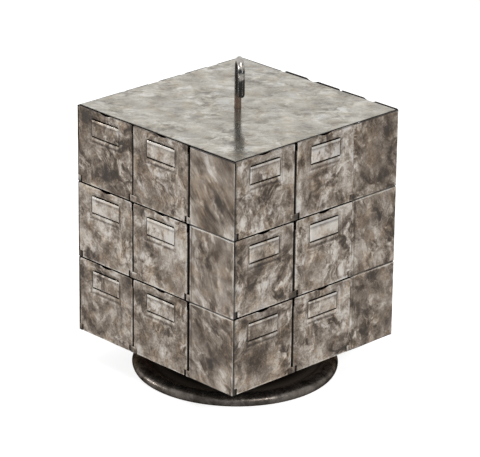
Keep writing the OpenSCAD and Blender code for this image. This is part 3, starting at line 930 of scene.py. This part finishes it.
def patch_tone(across, up, key):
    """What the patches on a front or panel add to its tone, at places across it and up it."""
    added = np.zeros(len(across))
    for middle, height, length, width, lean, tone in PATCHES.get(key, []):
        turn = math.radians(lean)
        x, z = across / MM - middle, up / MM - height
        along = z * math.cos(turn) + x * math.sin(turn)
        beside = x * math.cos(turn) - z * math.sin(turn)
        added += tone * fall(np.hypot(along / length, beside / width), 0.4, 1.15)
    return added


def add_finish_marks(mesh, points, draw, edge, inside, **marks):
    """Stores what the sheet steel's finish reads, and moves its patterns to a place of their own."""
    add_marks(mesh, "place", points + np.array([draw.uniform(-3, 3) for _ in range(3)]))
    usual = dict.fromkeys(("swing", "tone", "patch", "grime", "streak"), 0.0)
    for name, values in ({"edge": edge, "inside": inside} | usual | marks).items():
        add_marks(mesh, name, values + np.zeros(len(points)))


def edge_distance(u, v, z):
    """Distance in mm from a place on a bin to its nearest bend, rim or slit."""
    side = np.where(z > SIDE_TOP, FRONT_W / 2 - TONGUE_INSET, FRONT_W / 2) - np.abs(u)
    front = np.where(v > SHEET * 0.9, 9 * MM, least(np.abs(side), FRONT_TOP - z, z - FRONT_FOOT))
    return np.abs(np.where(v < RETURN_R, front, SIDE_TOP - z)) / MM


def ridge(value, middle, width):
    """1 at the middle, falling to 0 at a width to either side."""
    return fall(np.abs(value - middle), 0.35 * width, width)


def label_light_and_shade(u, z):
    """How much lighter the label plate's ridges are painted, as highlights on its relief and some rubbing,
    and how much painted shade its creases hold.
    """
    end = LABEL_W / 2 - np.abs(u)
    under_top = LABEL_TOP - z
    over_foot = z - LABEL_FOOT
    below_lower = -over_foot - LOWER_SLIT_H
    along = smooth(end, -0.5 * MM, 1 * MM)
    on_plate = least(under_top, over_foot) > -SLIT_ROOM
    inset = field_inset(u, z)
    light = 0.14 * on_plate * ridge(under_top, 1.2 * MM, 1.8 * MM) * along
    light += 0.08 * on_plate * ridge(end, 1.2 * MM, 1.4 * MM)
    light += 0.12 * ridge(below_lower, 1.4 * MM, 2 * MM) * along
    light += 0.06 * ridge(inset, -1.4 * MM, 1.3 * MM)
    light *= 0.8 + 0.4 * ripple(np.column_stack((u, z)), "label ridges", 9 * MM)
    shade = 0.55 * on_plate * ridge(under_top, 3.6 * MM, 1.1 * MM) * along
    shade += 0.6 * ridge(below_lower, LABEL_LIP + 0.7 * MM, 1.2 * MM) * along
    shade += 0.75 * on_plate * ridge(end, -0.9 * MM, 1.1 * MM)
    return light, most(shade, 0.3 * ridge(inset, 0.0, 1 * MM))


def mark_bin(mesh, key, points, draw):
    u, v, z = points.T
    on_face = v < 0.95 * MM
    on_plate = (np.abs(u) < LABEL_W / 2) & (z < UPPER_SLIT_Z) & (z > LOWER_SLIT_Z) & on_face
    shine = PLATE_SHINE.get(key, USUAL_SHINE) * 0.1 * smooth(LABEL_W / 2 - np.abs(u), 0, 2 * MM)
    tone = FRONT_TONE.get(key, draw.uniform(-0.015, 0.015))
    # Painted highlights on the label's ridges and painted shade in its creases.
    light, label_shade = label_light_and_shade(u, z)
    # Painted shade beside the gaps at a front's sides, at the near corner, under the top plate's edge, inside
    # the bin behind the gaps and at the back bins' rims.
    across = {"front_a": u, "right_b": -u}.get(key.split("_", 1)[1], np.abs(u))
    shade = [label_shade, 0.85 * fall(FRONT_W / 2 - across, 0.2 * MM, 1 * MM)]
    if key.endswith("right_a"):
        shade.append(0.9 * fall(FRONT_W / 2 + u, 1.1 * MM, 2.5 * MM))
    if key.startswith("upper"):
        shade.append(0.8 * fall(FRONT_TOP - z, 0.3 * MM, 1.6 * MM))
    grime = [on_face * most(*shade), SEAM_SHADE * smooth(v, 0.7 * MM, 1.7 * MM) * fall(v, 7 * MM, 18 * MM)]
    if key.startswith(("upper_back", "upper_left")):
        at_rim = (v > -0.1 * MM) & (v < 3 * MM)
        grime.append(0.95 * smooth(z, FRONT_TOP - 9 * MM, FRONT_TOP - 4 * MM) * at_rim)
    add_finish_marks(
        mesh, points, draw, edge_distance(u, v, z), smooth(v, 1.2 * MM, 5 * MM),
        swing=draw.uniform(-0.7, 0.7), tone=on_plate * shine + on_face * light + tone,
        patch=np.where(on_plate, 0.3, 1.0) * patch_tone(u, z, key), grime=most(*grime),
    )


def face_place(points, face):
    """Points in a face's frame, u to the right, v inwards and z up, put where that face is."""
    turned = Matrix.Rotation(math.radians(90 * face), 3, "Z")
    moved = points + np.array([0.0, -HALF_W, 0.0])
    return moved @ np.array(turned).T


def tier_foot(tier):
    return CASE_Z + tier * TIER_H


def make_bins():
    form = bin_form()
    shape = points_of(form)
    for (tier, tier_name), (face, face_name), (place, place_name) in product(
            enumerate(TIERS), enumerate(FACES), enumerate(PLACES)):
        key = f"{tier_name}_{face_name}_{place_name}"
        name = "bin_" + key
        draw = random.Random(name)
        mesh = form.copy()
        points = shape.copy()
        mark_bin(mesh, key, points, draw)
        on_front = fall(points[:, 1], 4 * MM, 12 * MM)
        dents = ripple(points[:, [0, 2]], name, 45 * MM) * 0.2 * MM
        dents += ripple(points[:, [0, 2]], name + " fine", 16 * MM) * 0.05 * MM
        yaw = math.radians(draw.uniform(-0.25, 0.25))
        shift = dents * on_front + draw.uniform(-0.3, 0.0) * MM + points[:, 0] * math.sin(yaw)
        room = smooth(points[:, 2], 2 * MM, 8 * MM)
        if tier == TOP_TIER and face > RIGHT:
            points[:, 1] -= thumb_dish(points[:, 0], points[:, 2]) * on_front
            room *= smooth(FRONT_TOP - points[:, 2], 4 * MM, 10 * MM)
        points[:, 1] += np.minimum(shift, (0.12 + room) * MM)
        points[:, 0] += FRONT_SHIFT.get(key, draw.uniform(-0.2, 0.2)) * MM
        points[:, 0] -= RIGHT_TRIM.get(key, 0.0) * MM * smooth(points[:, 0], 45 * MM, FRONT_W / 2)
        pulled = key.startswith("upper_back")
        rest_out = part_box(name)[1].y - HALF_W - LABEL_PROUD if pulled else 0.0
        points += np.array([BAY_U[place], -rest_out, tier_foot(tier)])
        set_points(mesh, face_place(points, face))
        dress(new_piece(name + "_steel", mesh), name, "bin_steel", name)


# Cabinet

def tier_heights(tier):
    """Heights of a tier's panels and of its walls. The top plate lies lower than a shelf would."""
    if tier == TOP_TIER:
        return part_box("side_sheet_upper_front")[1].z - tier_foot(tier), PLATE_Z - tier_foot(tier)
    return TIER_H - PANEL_SEAM, TIER_H


def side_sheet_mesh(panel_top, wall_top):
    """A plain panel with the wall that it turns into, in its face's frame, from its tier's foot."""
    bend = FOLD_R * math.pi / 2
    wall_end = 2 * (HALF_W - BLOCK_D / 2) - FOLD_R
    across = [-wall_end - bend, -bend - 14 * MM, -bend] + [-bend * i / 5 for i in range(1, 5)]
    across += [0.0, BLOCK_D - FOLD_R] + [d * MM for d in (1, 2.2, 2.8, 3.4, 4)]
    up = [0.0, 0.5 * MM, SHEET, 1.5 * MM, wall_top] + [panel_top - d * MM for d in (0, 0.9, 1.7, 2.6)]

    def point(s, z):
        if s >= 0:
            return FOLD_U + FOLD_R + s, 0.0, z
        turn = min(-s / FOLD_R, math.pi / 2)
        inwards = max(0.0, -s - bend)
        return FOLD_U + FOLD_R - FOLD_R * math.sin(turn), FOLD_R * (1 - math.cos(turn)) + inwards, z

    def kept(s, z):
        if s >= 0:
            return z < panel_top
        return SHEET < z < (wall_top if s < -bend else min(panel_top, wall_top))

    return sheet_mesh("side_sheet", lines(across, PANEL_STEP), lines(up, PANEL_STEP), point, kept)


def side_sheet_form(tier):
    panel_top, wall_top = tier_heights(tier)
    sheet = thickened("side_sheet", side_sheet_mesh(panel_top, wall_top), SHEET)
    slabs = [
        ("lug", (FOLD_U - LUG_REACH, 0, 0), (FOLD_U + FOLD_R + 0.5 * MM, SHEET, LUG_H)),
        ("corner_lug", (HALF_W - SHEET, 0.5 * MM, 0), (HALF_W, SHEET + LUG_REACH, LUG_H)),
    ]
    # Over each lower panel, a slab behind the seam closes it; it is painted wholly in shade.
    if tier < TOP_TIER:
        shade_tuck_low = (FOLD_U + 0.5 * MM, SHEET - 0.1 * MM, panel_top - 3 * MM)
        slabs.append(("shade_tuck", shade_tuck_low, (HALF_W - 0.4 * MM, SHEET + 0.5 * MM, TIER_H)))
    mesh = joined("side_sheet_form", [sheet.data] + [slab_mesh(*slab) for slab in slabs])
    bpy.data.objects.remove(sheet)
    return mesh


def gap_grime(v, start, full):
    """Painted shade on a sheet that runs inwards through a gap, from a start to a full depth and then fading.
    """
    return smooth(v, start, full) * fall(v, 14 * MM, 26 * MM)


def side_sheet_grime(u, v, z, tier, face):
    """How much painted shade a side sheet gets: in its gap, at its foot, head, fold and corner, and on the
    slab behind its seam.
    """
    fold_end = FOLD_U + FOLD_R
    over_panel = z - tier_heights(tier)[0]
    gap = (u < fold_end) * (z > LUG_H) * gap_grime(v, 0.5 * MM, 1.6 * MM)
    foot = (u > fold_end) * fall(z, 0.4 * MM, 1.2 * MM)
    head = (u > fold_end) * fall(-over_panel, 0.8 * MM, 1.7 * MM) * (tier == TOP_TIER)
    fold = fall(u - FOLD_U, 0.5 * MM, 1.6 * MM) * (v < FOLD_R) * (z > LUG_H) * (face != RIGHT)
    corner = smooth(v, 0.3 * MM, 0.8 * MM) * (u > HALF_W - 0.3 * MM) * (face == FRONT)
    fold_head = (u < fold_end + 1 * MM) * (v < FOLD_R) * smooth(over_panel, -0.7 * MM, -0.2 * MM)
    strip = 0.6 * ridge(u, fold_end + 2.8 * MM, 0.9 * MM) * (v < 1.5 * MM) * (tier < TOP_TIER)
    return SEAM_SHADE * most(gap, foot, head, fold, corner, over_panel > 0.1 * MM, fold_head, strip)


def make_side_sheets():
    for tier, tier_name in enumerate(TIERS):
        form = side_sheet_form(tier)
        shape = points_of(form)
        u, v, z = shape.T
        panel_top = tier_heights(tier)[0]
        on_face = v < 1.5 * MM
        on_panel = on_face * smooth(u, FOLD_U + 3 * MM, FOLD_U + 20 * MM) * smooth(HALF_W - u, 0, 8 * MM)
        edge = least(np.abs(u - FOLD_U), np.abs(HALF_W - u), z, panel_top - z)
        edge = np.where(v < 0.9 * MM, np.abs(edge) / MM, 9.0)
        # A painted highlight along the head of each lower panel, weaker on the right face.
        top_edge_highlight = fall(panel_top - z, 1 * MM, 2.2 * MM) * (tier < TOP_TIER) * on_face
        for face, face_name in enumerate(FACES):
            key = f"{tier_name}_{face_name}"
            name = "side_sheet_" + key
            draw = random.Random(name)
            mesh = form.copy()
            tone = PANEL_TONE.get(key, draw.uniform(-0.02, 0.005))
            add_finish_marks(
                mesh, shape, draw, edge, smooth(v, 2 * MM, 12 * MM), swing=draw.uniform(-0.3, 0.3),
                tone=tone + (0.08 if face == RIGHT else 0.13) * top_edge_highlight,
                patch=patch_tone(u - (FOLD_U + HALF_W) / 2, z, key + "_panel"),
                grime=side_sheet_grime(u, v, z, tier, face), streak=PANEL_STREAK.get(key, 0.3),
            )
            points = shape + np.array([0, 0, tier_foot(tier)])
            points[:, 1] += ripple(shape[:, [0, 2]], name, 55 * MM) * 0.25 * MM * on_panel
            set_points(mesh, face_place(points, face))
            dress(new_piece(name + "_steel", mesh, CARCASS), "cabinet", "carcass_steel", name)


def divider_form(wall_top, left_reach, right_reach):
    """One divider with a lug across its foot."""
    left, right = DIVIDER_U - SHEET / 2, DIVIDER_U + SHEET / 2
    split = DIVIDER_SETBACK + 16 * MM
    slabs = [
        ("wall", (left, DIVIDER_SETBACK, SHEET), (right, split, wall_top)),
        ("rest", (left, split, SHEET), (right, BLOCK_D - SHEET, wall_top)),
        ("foot", (left, 0.5 * MM, SHEET), (right, DIVIDER_SETBACK + SHEET, LUG_H)),
        ("lug", (left - left_reach, 0, 0), (right + right_reach, SHEET, LUG_H)),
    ]
    return joined("divider_form", [slab_mesh(*slab) for slab in slabs])


def make_dividers():
    for tier, tier_name in enumerate(TIERS):
        parts = []
        for face, reaches in enumerate(LUG_REACHES):
            mesh = divider_form(tier_heights(tier)[1], *reaches)
            shape = points_of(mesh)
            v, z = shape[:, 1], shape[:, 2]
            draw = random.Random(f"divider {tier} {face}")
            edge = np.where(v < 0.9 * MM, LUG_H - z, 9 * MM) / MM
            # Painted shade on the divider where it runs inwards through the gap.
            add_finish_marks(
                mesh, shape, draw, edge, smooth(v, 1.5 * MM, 6 * MM), tone=-0.1 if face == RIGHT else -0.055,
                grime=SEAM_SHADE * gap_grime(v, 0.9 * MM, 1.6 * MM),
            )
            set_points(mesh, face_place(shape + np.array([0, 0, tier_foot(tier)]), face))
            parts.append(mesh)
        name = f"dividers_{tier_name}"
        dress(new_piece(name + "_steel", joined(name, parts), CARCASS), "cabinet", "carcass_steel", name)


def plate_rim(angle):
    """Where a line from the plate's hole meets its round-cornered rim."""
    direction = Vector((math.cos(angle), math.sin(angle)))
    sides = [plate_high[k] if direction[k] > 0 else plate_low[k] for k in range(2)]
    point = direction * min(sides[k] / direction[k] for k in range(2) if direction[k])
    inner = Vector(
        min(max(point[k], plate_low[k] + PLATE_CORNER_R), plate_high[k] - PLATE_CORNER_R) for k in range(2))
    away = point - inner
    if away.x and away.y:
        point = inner + away.normalized() * PLATE_CORNER_R
    return point


def plate_mesh():
    """The upper side of the top plate, from the edge of its hole out to its rim."""
    corners = [math.atan2(y, x) for x in (plate_low.x, plate_high.x) for y in (plate_low.y, plate_high.y)]
    angles = [2 * math.pi * (i - PLATE_TURNS // 2) / PLATE_TURNS for i in range(PLATE_TURNS)]
    angles = sorted(angles + [corner + math.radians(d) for corner in corners for d in (-0.3, -0.1, 0.1, 0.3)])
    holes = [Vector((math.cos(angle), math.sin(angle))) * PLATE_HOLE_R for angle in angles]
    rims = [plate_rim(angle) for angle in angles]
    bm = bmesh.new()
    rings = []
    for share in lines([0.0, 0.01, 0.04, 0.985, 0.992, 0.996, 1.0], 0.035):
        rings.append([bm.verts.new((*hole.lerp(rim, share), PLATE_TOP)) for hole, rim in zip(holes, rims)])
    skin(bm, rings, closed=True)
    return made_mesh("top_plate", bm)


def make_top_plate():
    piece = thickened("top_plate_steel", plate_mesh(), PLATE_TOP - PLATE_Z, 0.35 * MM)
    points = points_of(piece.data)
    x, y, z = points.T
    out_of_hole = np.hypot(x, y) - PLATE_HOLE_R
    below = smooth(PLATE_TOP - z, 0.1 * MM, 0.5 * MM)
    to_rim = least(plate_high.x - x, x - plate_low.x, plate_high.y - y, y - plate_low.y)
    # Painted shade under the plate and along its rim; the darker ring round the hole is a stain.
    shade = most(below * (out_of_hole > 4 * MM), 0.8 * fall(to_rim, 0.2 * MM, 1.1 * MM))
    stain = -0.1 * fall(out_of_hole, 1 * MM, 14 * MM)
    add_finish_marks(
        piece.data, points[:, [0, 2, 1]], random.Random("top plate"), 9.0, below,
        patch=patch_tone(x, y, "top") + stain, grime=SEAM_SHADE * shade, streak=0.3)
    waves = ripple(points[:, :2], "top plate", 90 * MM) * 0.2 * MM
    points[:, 2] += (waves - 0.2 * MM) * smooth(out_of_hole, 5 * MM, 40 * MM)
    set_points(piece.data, points)
    piece.data.materials.append(TOP)
    dress(piece, "cabinet", "top_steel", "top_plate")


# Base, spindle and bearing

def turned_tree():
    """A closed outline of radii and heights, turned round the upright axis."""
    tree, given, out = new_group(
        "turned piece", "Geometry", [("Outline", "Geometry"), ("Segments", "Int"), ("Material", "Material")],
        [("Piece", "Geometry")],
    )
    outline = node(tree, "GeometryNodeMeshToCurve", {"Mesh": given["Outline"]})
    path = node(tree, "GeometryNodeCurvePrimitiveCircle", {"Resolution": given["Segments"], "Radius": 1.0})
    swept = node(tree, "GeometryNodeCurveToMesh", {"Curve": path["Curve"], "Profile Curve": outline["Curve"]})
    return finish_shape(tree, swept["Mesh"], given["Material"], out)


TURNED = turned_tree()


def turned_piece(name, outline, material, segments):
    """A piece turned from an outline of (radius, height) corners. The path of the turning has radius 1."""
    mesh = bpy.data.meshes.new(name)
    count = len(outline)
    mesh.from_pydata([(r - 1, -z, 0) for r, z in outline], [(i, (i + 1) % count) for i in range(count)], [])
    piece = shaped(new_piece(name, mesh), TURNED, Segments=segments, Material=material)
    tidy_mesh(piece.data)
    return piece


def eased_outline(corners, ease):
    """A closed outline with each of its corners cut back a little on both sides."""
    cut = []
    for i, corner in enumerate(corners):
        for other in (corners[i - 1], corners[(i + 1) % len(corners)]):
            gap = math.dist(corner, other)
            share = min(ease, gap * 0.4) / gap
            cut.append(tuple(corner[k] + (other[k] - corner[k]) * share for k in range(2)))
    return cut


def base_outline():
    """Half a section through the base: bore, pocket, web, bead and hub, from the bore's top round."""
    bead_ring_r = BASE_R - BEAD_R
    bead_z = math.sqrt(BEAD_R ** 2 - (FOOT_W / 2) ** 2)
    foot_turn = math.degrees(math.asin(bead_z / BEAD_R))
    web_under_turn = math.degrees(math.asin((WEB_RIM_Z - WEB_T - bead_z) / BEAD_R))
    lip_top = HUB_H + HUB_LIP_H
    lip = [(HUB_LIP_IN, HUB_H), (HUB_LIP_IN, lip_top - 0.4 * MM), (HUB_LIP_IN + 0.4 * MM, lip_top)]
    lip += [(HUB_R - 0.6 * MM, lip_top), (HUB_R, lip_top - 0.6 * MM)]
    cove = arc((HUB_R + COVE_R, WEB_HUB_Z + COVE_R), COVE_R, 180, 268, 10)
    hollow_z = WEB_RIM_Z + BEAD_COVE_R
    crown_r = BASE_R - CROWN_H
    hollow_r = crown_r - math.sqrt((CROWN_H + BEAD_COVE_R) ** 2 - (hollow_z - bead_z) ** 2)
    hollow_turn = math.degrees(math.atan2(bead_z - hollow_z, crown_r - hollow_r))
    crown = arc((hollow_r, hollow_z), BEAD_COVE_R, -90, hollow_turn, 10)
    crown += arc((crown_r, bead_z), CROWN_H, 180 + hollow_turn, 0, 26)[1:]
    crown = [(BASE_R - (BASE_R - r) * CROWN_W / CROWN_H, z) for r, z in crown]
    web = [(cove[-1][0] + (crown[0][0] - cove[-1][0]) * i / 12,
            WEB_HUB_Z + (WEB_RIM_Z - WEB_HUB_Z) * i / 12) for i in range(1, 12)]
    bead = arc((bead_ring_r, bead_z), BEAD_R, 0, -foot_turn, 10)[1:]
    under = arc((bead_ring_r, bead_z), BEAD_R, 180 + foot_turn, 180 - web_under_turn, 6)
    pocket_z = WEB_HUB_Z - WEB_T
    pocket = [(NUT_POCKET_R + 1 * MM, pocket_z), (NUT_POCKET_R, pocket_z + 1 * MM)]
    pocket += [(NUT_POCKET_R, NUT_SEAT_Z), (BORE_R, NUT_SEAT_Z), (BORE_R, HUB_H)]
    return lip + cove + web + crown + bead + under + pocket


def make_base():
    piece = turned_piece("base_iron", base_outline(), IRON, 240)
    points = points_of(piece.data)
    reach = np.hypot(points[:, 0], points[:, 1])
    rough_part = smooth(reach, HUB_R, HUB_R + 10 * MM) * smooth(points[:, 2], 0.5 * MM, 4 * MM)
    inward = ripple(points[:, :2], "sand mould", 34 * MM) * 0.12 * MM - 0.12 * MM
    share = (reach + inward * rough_part) / reach
    points[:, :2] *= share[:, None]
    points[:, 2] += ripple(points[:, :2], "sand mould top", 26 * MM) * 0.1 * MM * rough_part
    set_points(piece.data, points)
    dress(piece, "base", "cast_iron", "base_casting")


def rod_tree():
    """A path given as a line of points, each with its thickness, made a round bar."""
    tree, given, out = new_group(
        "bent rod", "Geometry",
        [("Path", "Geometry"), ("Radius", "Float"), ("Sides", "Int"), ("Material", "Material")],
        [("Rod", "Geometry")],
    )
    path = node(tree, "GeometryNodeMeshToCurve", {"Mesh": given["Path"]})
    thickness = node(tree, "GeometryNodeInputNamedAttribute", {"Name": "thickness"}, data_type="FLOAT")
    section = node(
        tree, "GeometryNodeCurvePrimitiveCircle", {"Resolution": given["Sides"], "Radius": given["Radius"]})
    swept = node(tree, "GeometryNodeCurveToMesh", {
        "Curve": path["Curve"], "Profile Curve": section["Curve"],
        "Scale": thickness["Attribute"], "Fill Caps": True})
    return finish_shape(tree, swept["Mesh"], given["Material"], out)


def hook_path():
    """Points and thicknesses along the spindle, from its foot over the bend to the end of its leg."""
    chamfer = 0.8 * MM
    path = [(0.0, ROD_FOOT_Z, 1 - chamfer / ROD_R), (0.0, ROD_FOOT_Z + chamfer, 1.0)]
    path += [(0.0, z, 1.0) for z in lines([ROD_FOOT_Z + chamfer, BEND_Z], 4 * MM)[1:-1]]
    path += [(u, z, 1.0) for u, z in arc((HOOK_R, BEND_Z), HOOK_R, 180, 0, 40)]
    path += [(2 * HOOK_R, BEND_Z - z, 1.0) for z in lines([0, HOOK_LEG], 2 * MM)[1:]]
    dome = [math.radians(9 * i) for i in range(1, 10)]
    path += [(2 * HOOK_R, BEND_Z - HOOK_LEG - ROD_R * math.sin(a), max(0.02, math.cos(a))) for a in dome]
    return path


def make_hook():
    path = hook_path()
    mesh = bpy.data.meshes.new("hook_path")
    points = [(u * math.cos(HOOK_TURN), u * math.sin(HOOK_TURN), z) for u, z, _ in path]
    mesh.from_pydata(points, [(i, i + 1) for i in range(len(path) - 1)], [])
    draw = random.Random("hammered")
    add_marks(mesh, "thickness", np.array([t * (1 - 0.012 * draw.random()) for _, _, t in path]))
    piece = shaped(new_piece("spindle_hook_steel", mesh), rod_tree(), Radius=ROD_R, Sides=40, Material=ROD)
    tidy_mesh(piece.data)
    dress(piece, "base", "hook_steel", "spindle_hook")


def nut_mesh(name):
    """A hexagon nut with both its ends chamfered."""
    low, high = (corner.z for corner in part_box(name))
    flat = NUT_AF / 2
    angles = [2 * math.pi * i / NUT_TURNS for i in range(NUT_TURNS)]
    chamfer = math.tan(math.radians(30))

    def radius(angle, z):
        side = flat / math.cos((angle % (math.pi / 3)) - math.pi / 6)
        return min(side, flat * 0.96 + min(z - low, high - z) / chamfer)

    steps = [d * MM for d in (0, 0.25, 0.5, 0.8, 1.2)]
    levels = [low + d for d in steps] + [high - d for d in reversed(steps)]
    mouth = 0.5 * MM
    bores = [(BORE_R + mouth, high), (BORE_R, high - mouth), (BORE_R, low + mouth)]
    rings = [[(BORE_R + mouth, low)] * NUT_TURNS]
    rings += [[(radius(angle, z), z) for angle in angles] for z in levels]
    rings += [[corner] * NUT_TURNS for corner in bores]
    bm = bmesh.new()
    rows = []
    for ring in rings:
        rows.append([bm.verts.new((r * math.cos(a), r * math.sin(a), z)) for a, (r, z) in zip(angles, ring)])
    skin(bm, rows + rows[:1], closed=True)
    bmesh.ops.recalc_face_normals(bm, faces=bm.faces)
    return made_mesh(name, bm)


def make_hardware():
    for name in ("spindle_nut_lower", "spindle_nut_upper"):
        dress(new_piece(name + "_zinc", nut_mesh(name), HARDWARE), "base", "hardware", name)
    low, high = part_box("spindle_washer")
    corners = [(BORE_R, low.z), (high.x, low.z), (high.x, high.z), (BORE_R, high.z)]
    outline = eased_outline(corners, 0.25 * MM)
    dress(turned_piece("spindle_washer_zinc", outline, HARDWARE, 72), "base", "hardware", "spindle_washer")


def ball_tree():
    """Balls evenly round a circle."""
    tree, given, out = new_group(
        "ring of balls", "Geometry",
        [("Seat", "Geometry"), ("Count", "Int"), ("Ring Radius", "Float"), ("Height", "Float"),
         ("Ball Radius", "Float"), ("Material", "Material")],
        [("Balls", "Geometry")],
    )
    ring = node(tree, "GeometryNodeMeshCircle", {"Vertices": given["Count"], "Radius": given["Ring Radius"]})
    lift = upright(tree, 0.0, given["Height"])
    ring = node(tree, "GeometryNodeTransform", {"Geometry": ring["Mesh"], "Translation": lift})
    ball = node(tree, "GeometryNodeMeshIcoSphere", {"Radius": given["Ball Radius"], "Subdivisions": 4})
    put = node(tree, "GeometryNodeInstanceOnPoints", {"Points": ring["Geometry"], "Instance": ball["Mesh"]})
    return finish_shape(tree, put["Instances"], given["Material"], out)


def make_balls():
    low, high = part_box("bearing_balls")
    piece = new_piece("bearing_balls_steel", bpy.data.meshes.new("bearing_balls"))
    shaped(piece, ball_tree(), Count=BALL_COUNT, Ring_Radius=BALL_RING_R, Height=(low.z + high.z) / 2,
           Ball_Radius=BALL_R, Material=RACE)
    dress(piece, "ball_ring", "race_steel", "bearing_balls")


KEPT_NODES = {
    "bearing_race_lower": RACE, "bearing_race_upper": RACE, "ball_cage": BRASS, "pivot_flange": IRON,
    "pivot_rivets": HARDWARE, "centre_tube": INNER, "bush_lower": BRASS, "bush_upper": BRASS,
    "shelf_lower": INNER, "shelf_middle": INNER, "shelf_upper": INNER,
}


def finish_kept_nodes():
    """Plain inner pieces keep the frame's own shape and get their finish."""
    for name, material in KEPT_NODES.items():
        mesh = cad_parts[name].data
        mesh.materials.clear()
        mesh.materials.append(material)


# Camera, floor and light

VIEW_TURN = math.radians(45.84)
VIEW_TILT = math.radians(21.53)
VIEW_ROLL = math.radians(0.6435)
VIEW_DISTANCE = 4.1623
VIEW_SIDE = 4.8 * MM
VIEW_DROP = -0.4 * MM
LENS = 228.9
SENSOR_W = 36
CASE_MIDDLE = Vector((0, 0, CASE_Z + HALF_W))
FLOOR_R = 14
FLOOR_GREY = (200, 200, 200)
FLOOR_GLOW = 0.78
FLOOR_IN_METAL = 0.52
WORLD_LIGHT = 0.42


def make_camera():
    back = Vector((math.sin(VIEW_TURN) * math.cos(VIEW_TILT), -math.cos(VIEW_TURN) * math.cos(VIEW_TILT),
                   math.sin(VIEW_TILT)))
    right = Vector((math.cos(VIEW_TURN), math.sin(VIEW_TURN), 0))
    up = back.cross(right)
    aim = CASE_MIDDLE + right * VIEW_SIDE - up * VIEW_DROP
    across = right * math.cos(VIEW_ROLL) + up * math.sin(VIEW_ROLL)
    upward = up * math.cos(VIEW_ROLL) - right * math.sin(VIEW_ROLL)
    data = bpy.data.cameras.new("camera")
    data.sensor_width = SENSOR_W
    data.lens = LENS
    camera = new_object("camera", data)
    turned = Matrix((across, upward, back)).transposed().to_4x4()
    camera.matrix_world = Matrix.Translation(aim + back * VIEW_DISTANCE) @ turned
    bpy.context.scene.camera = camera


def make_floor():
    bm = bmesh.new()
    bmesh.ops.create_circle(bm, cap_ends=True, segments=64, radius=FLOOR_R)
    material, tree, shader = new_material("pale_floor")
    rays = node(tree, "ShaderNodeLightPath")
    seen = maths(tree, "MAXIMUM", rays["Is Camera Ray"], times(tree, rays["Is Glossy Ray"], FLOOR_IN_METAL))
    strength = times(tree, seen, FLOOR_GLOW)
    glow = node(tree, "ShaderNodeEmission", {"Color": (1, 1, 1, 1), "Strength": strength})
    both = node(tree, "ShaderNodeAddShader", {0: shader.outputs[0], 1: glow[0]})
    fill(shader.inputs, {"Base Color": grey(FLOOR_GREY), "Roughness": 0.9, "Specular IOR Level": 0.0})
    fill(tree.nodes["Material Output"].inputs, {"Surface": both[0]})
    new_piece("floor", made_mesh("floor", bm), material)


def make_world():
    world = bpy.data.worlds.new("studio")
    bpy.context.scene.world = world
    world.use_nodes = True
    tree = world.node_tree
    rays = node(tree, "ShaderNodeLightPath")
    seen = maths(tree, "ADD", rays["Is Camera Ray"], rays["Is Glossy Ray"], clamp=True)
    seen = maths(tree, "ADD", seen, rays["Is Transmission Ray"], clamp=True)
    strength = rise(tree, seen, 0.0, 1.0, WORLD_LIGHT, 1.0)
    fill(tree.nodes["Background"].inputs, {"Color": (1, 1, 1, 1), "Strength": strength})


def add_lamp(name, place, size, power):
    data = bpy.data.lights.new(name, "AREA")
    data.size = size
    data.energy = power
    lamp = new_object(name, data)
    lamp.location = place
    lamp.rotation_euler = (CASE_MIDDLE - Vector(place)).to_track_quat("-Z", "Y").to_euler()


def make_light():
    add_lamp("overhead", (0.3, -0.4, 2.6), 1.0, 30)
    add_lamp("key", (-2.3, -1.75, 0.9), 0.55, 27)
    add_lamp("fill", (2.5, -0.55, 1.6), 0.6, 36)


make_camera()
make_floor()
make_world()
make_light()
make_bins()
make_side_sheets()
make_dividers()
make_top_plate()
make_base()
make_hook()
make_hardware()
make_balls()
finish_kept_nodes()

bpy.context.scene.view_settings.view_transform = "Standard"
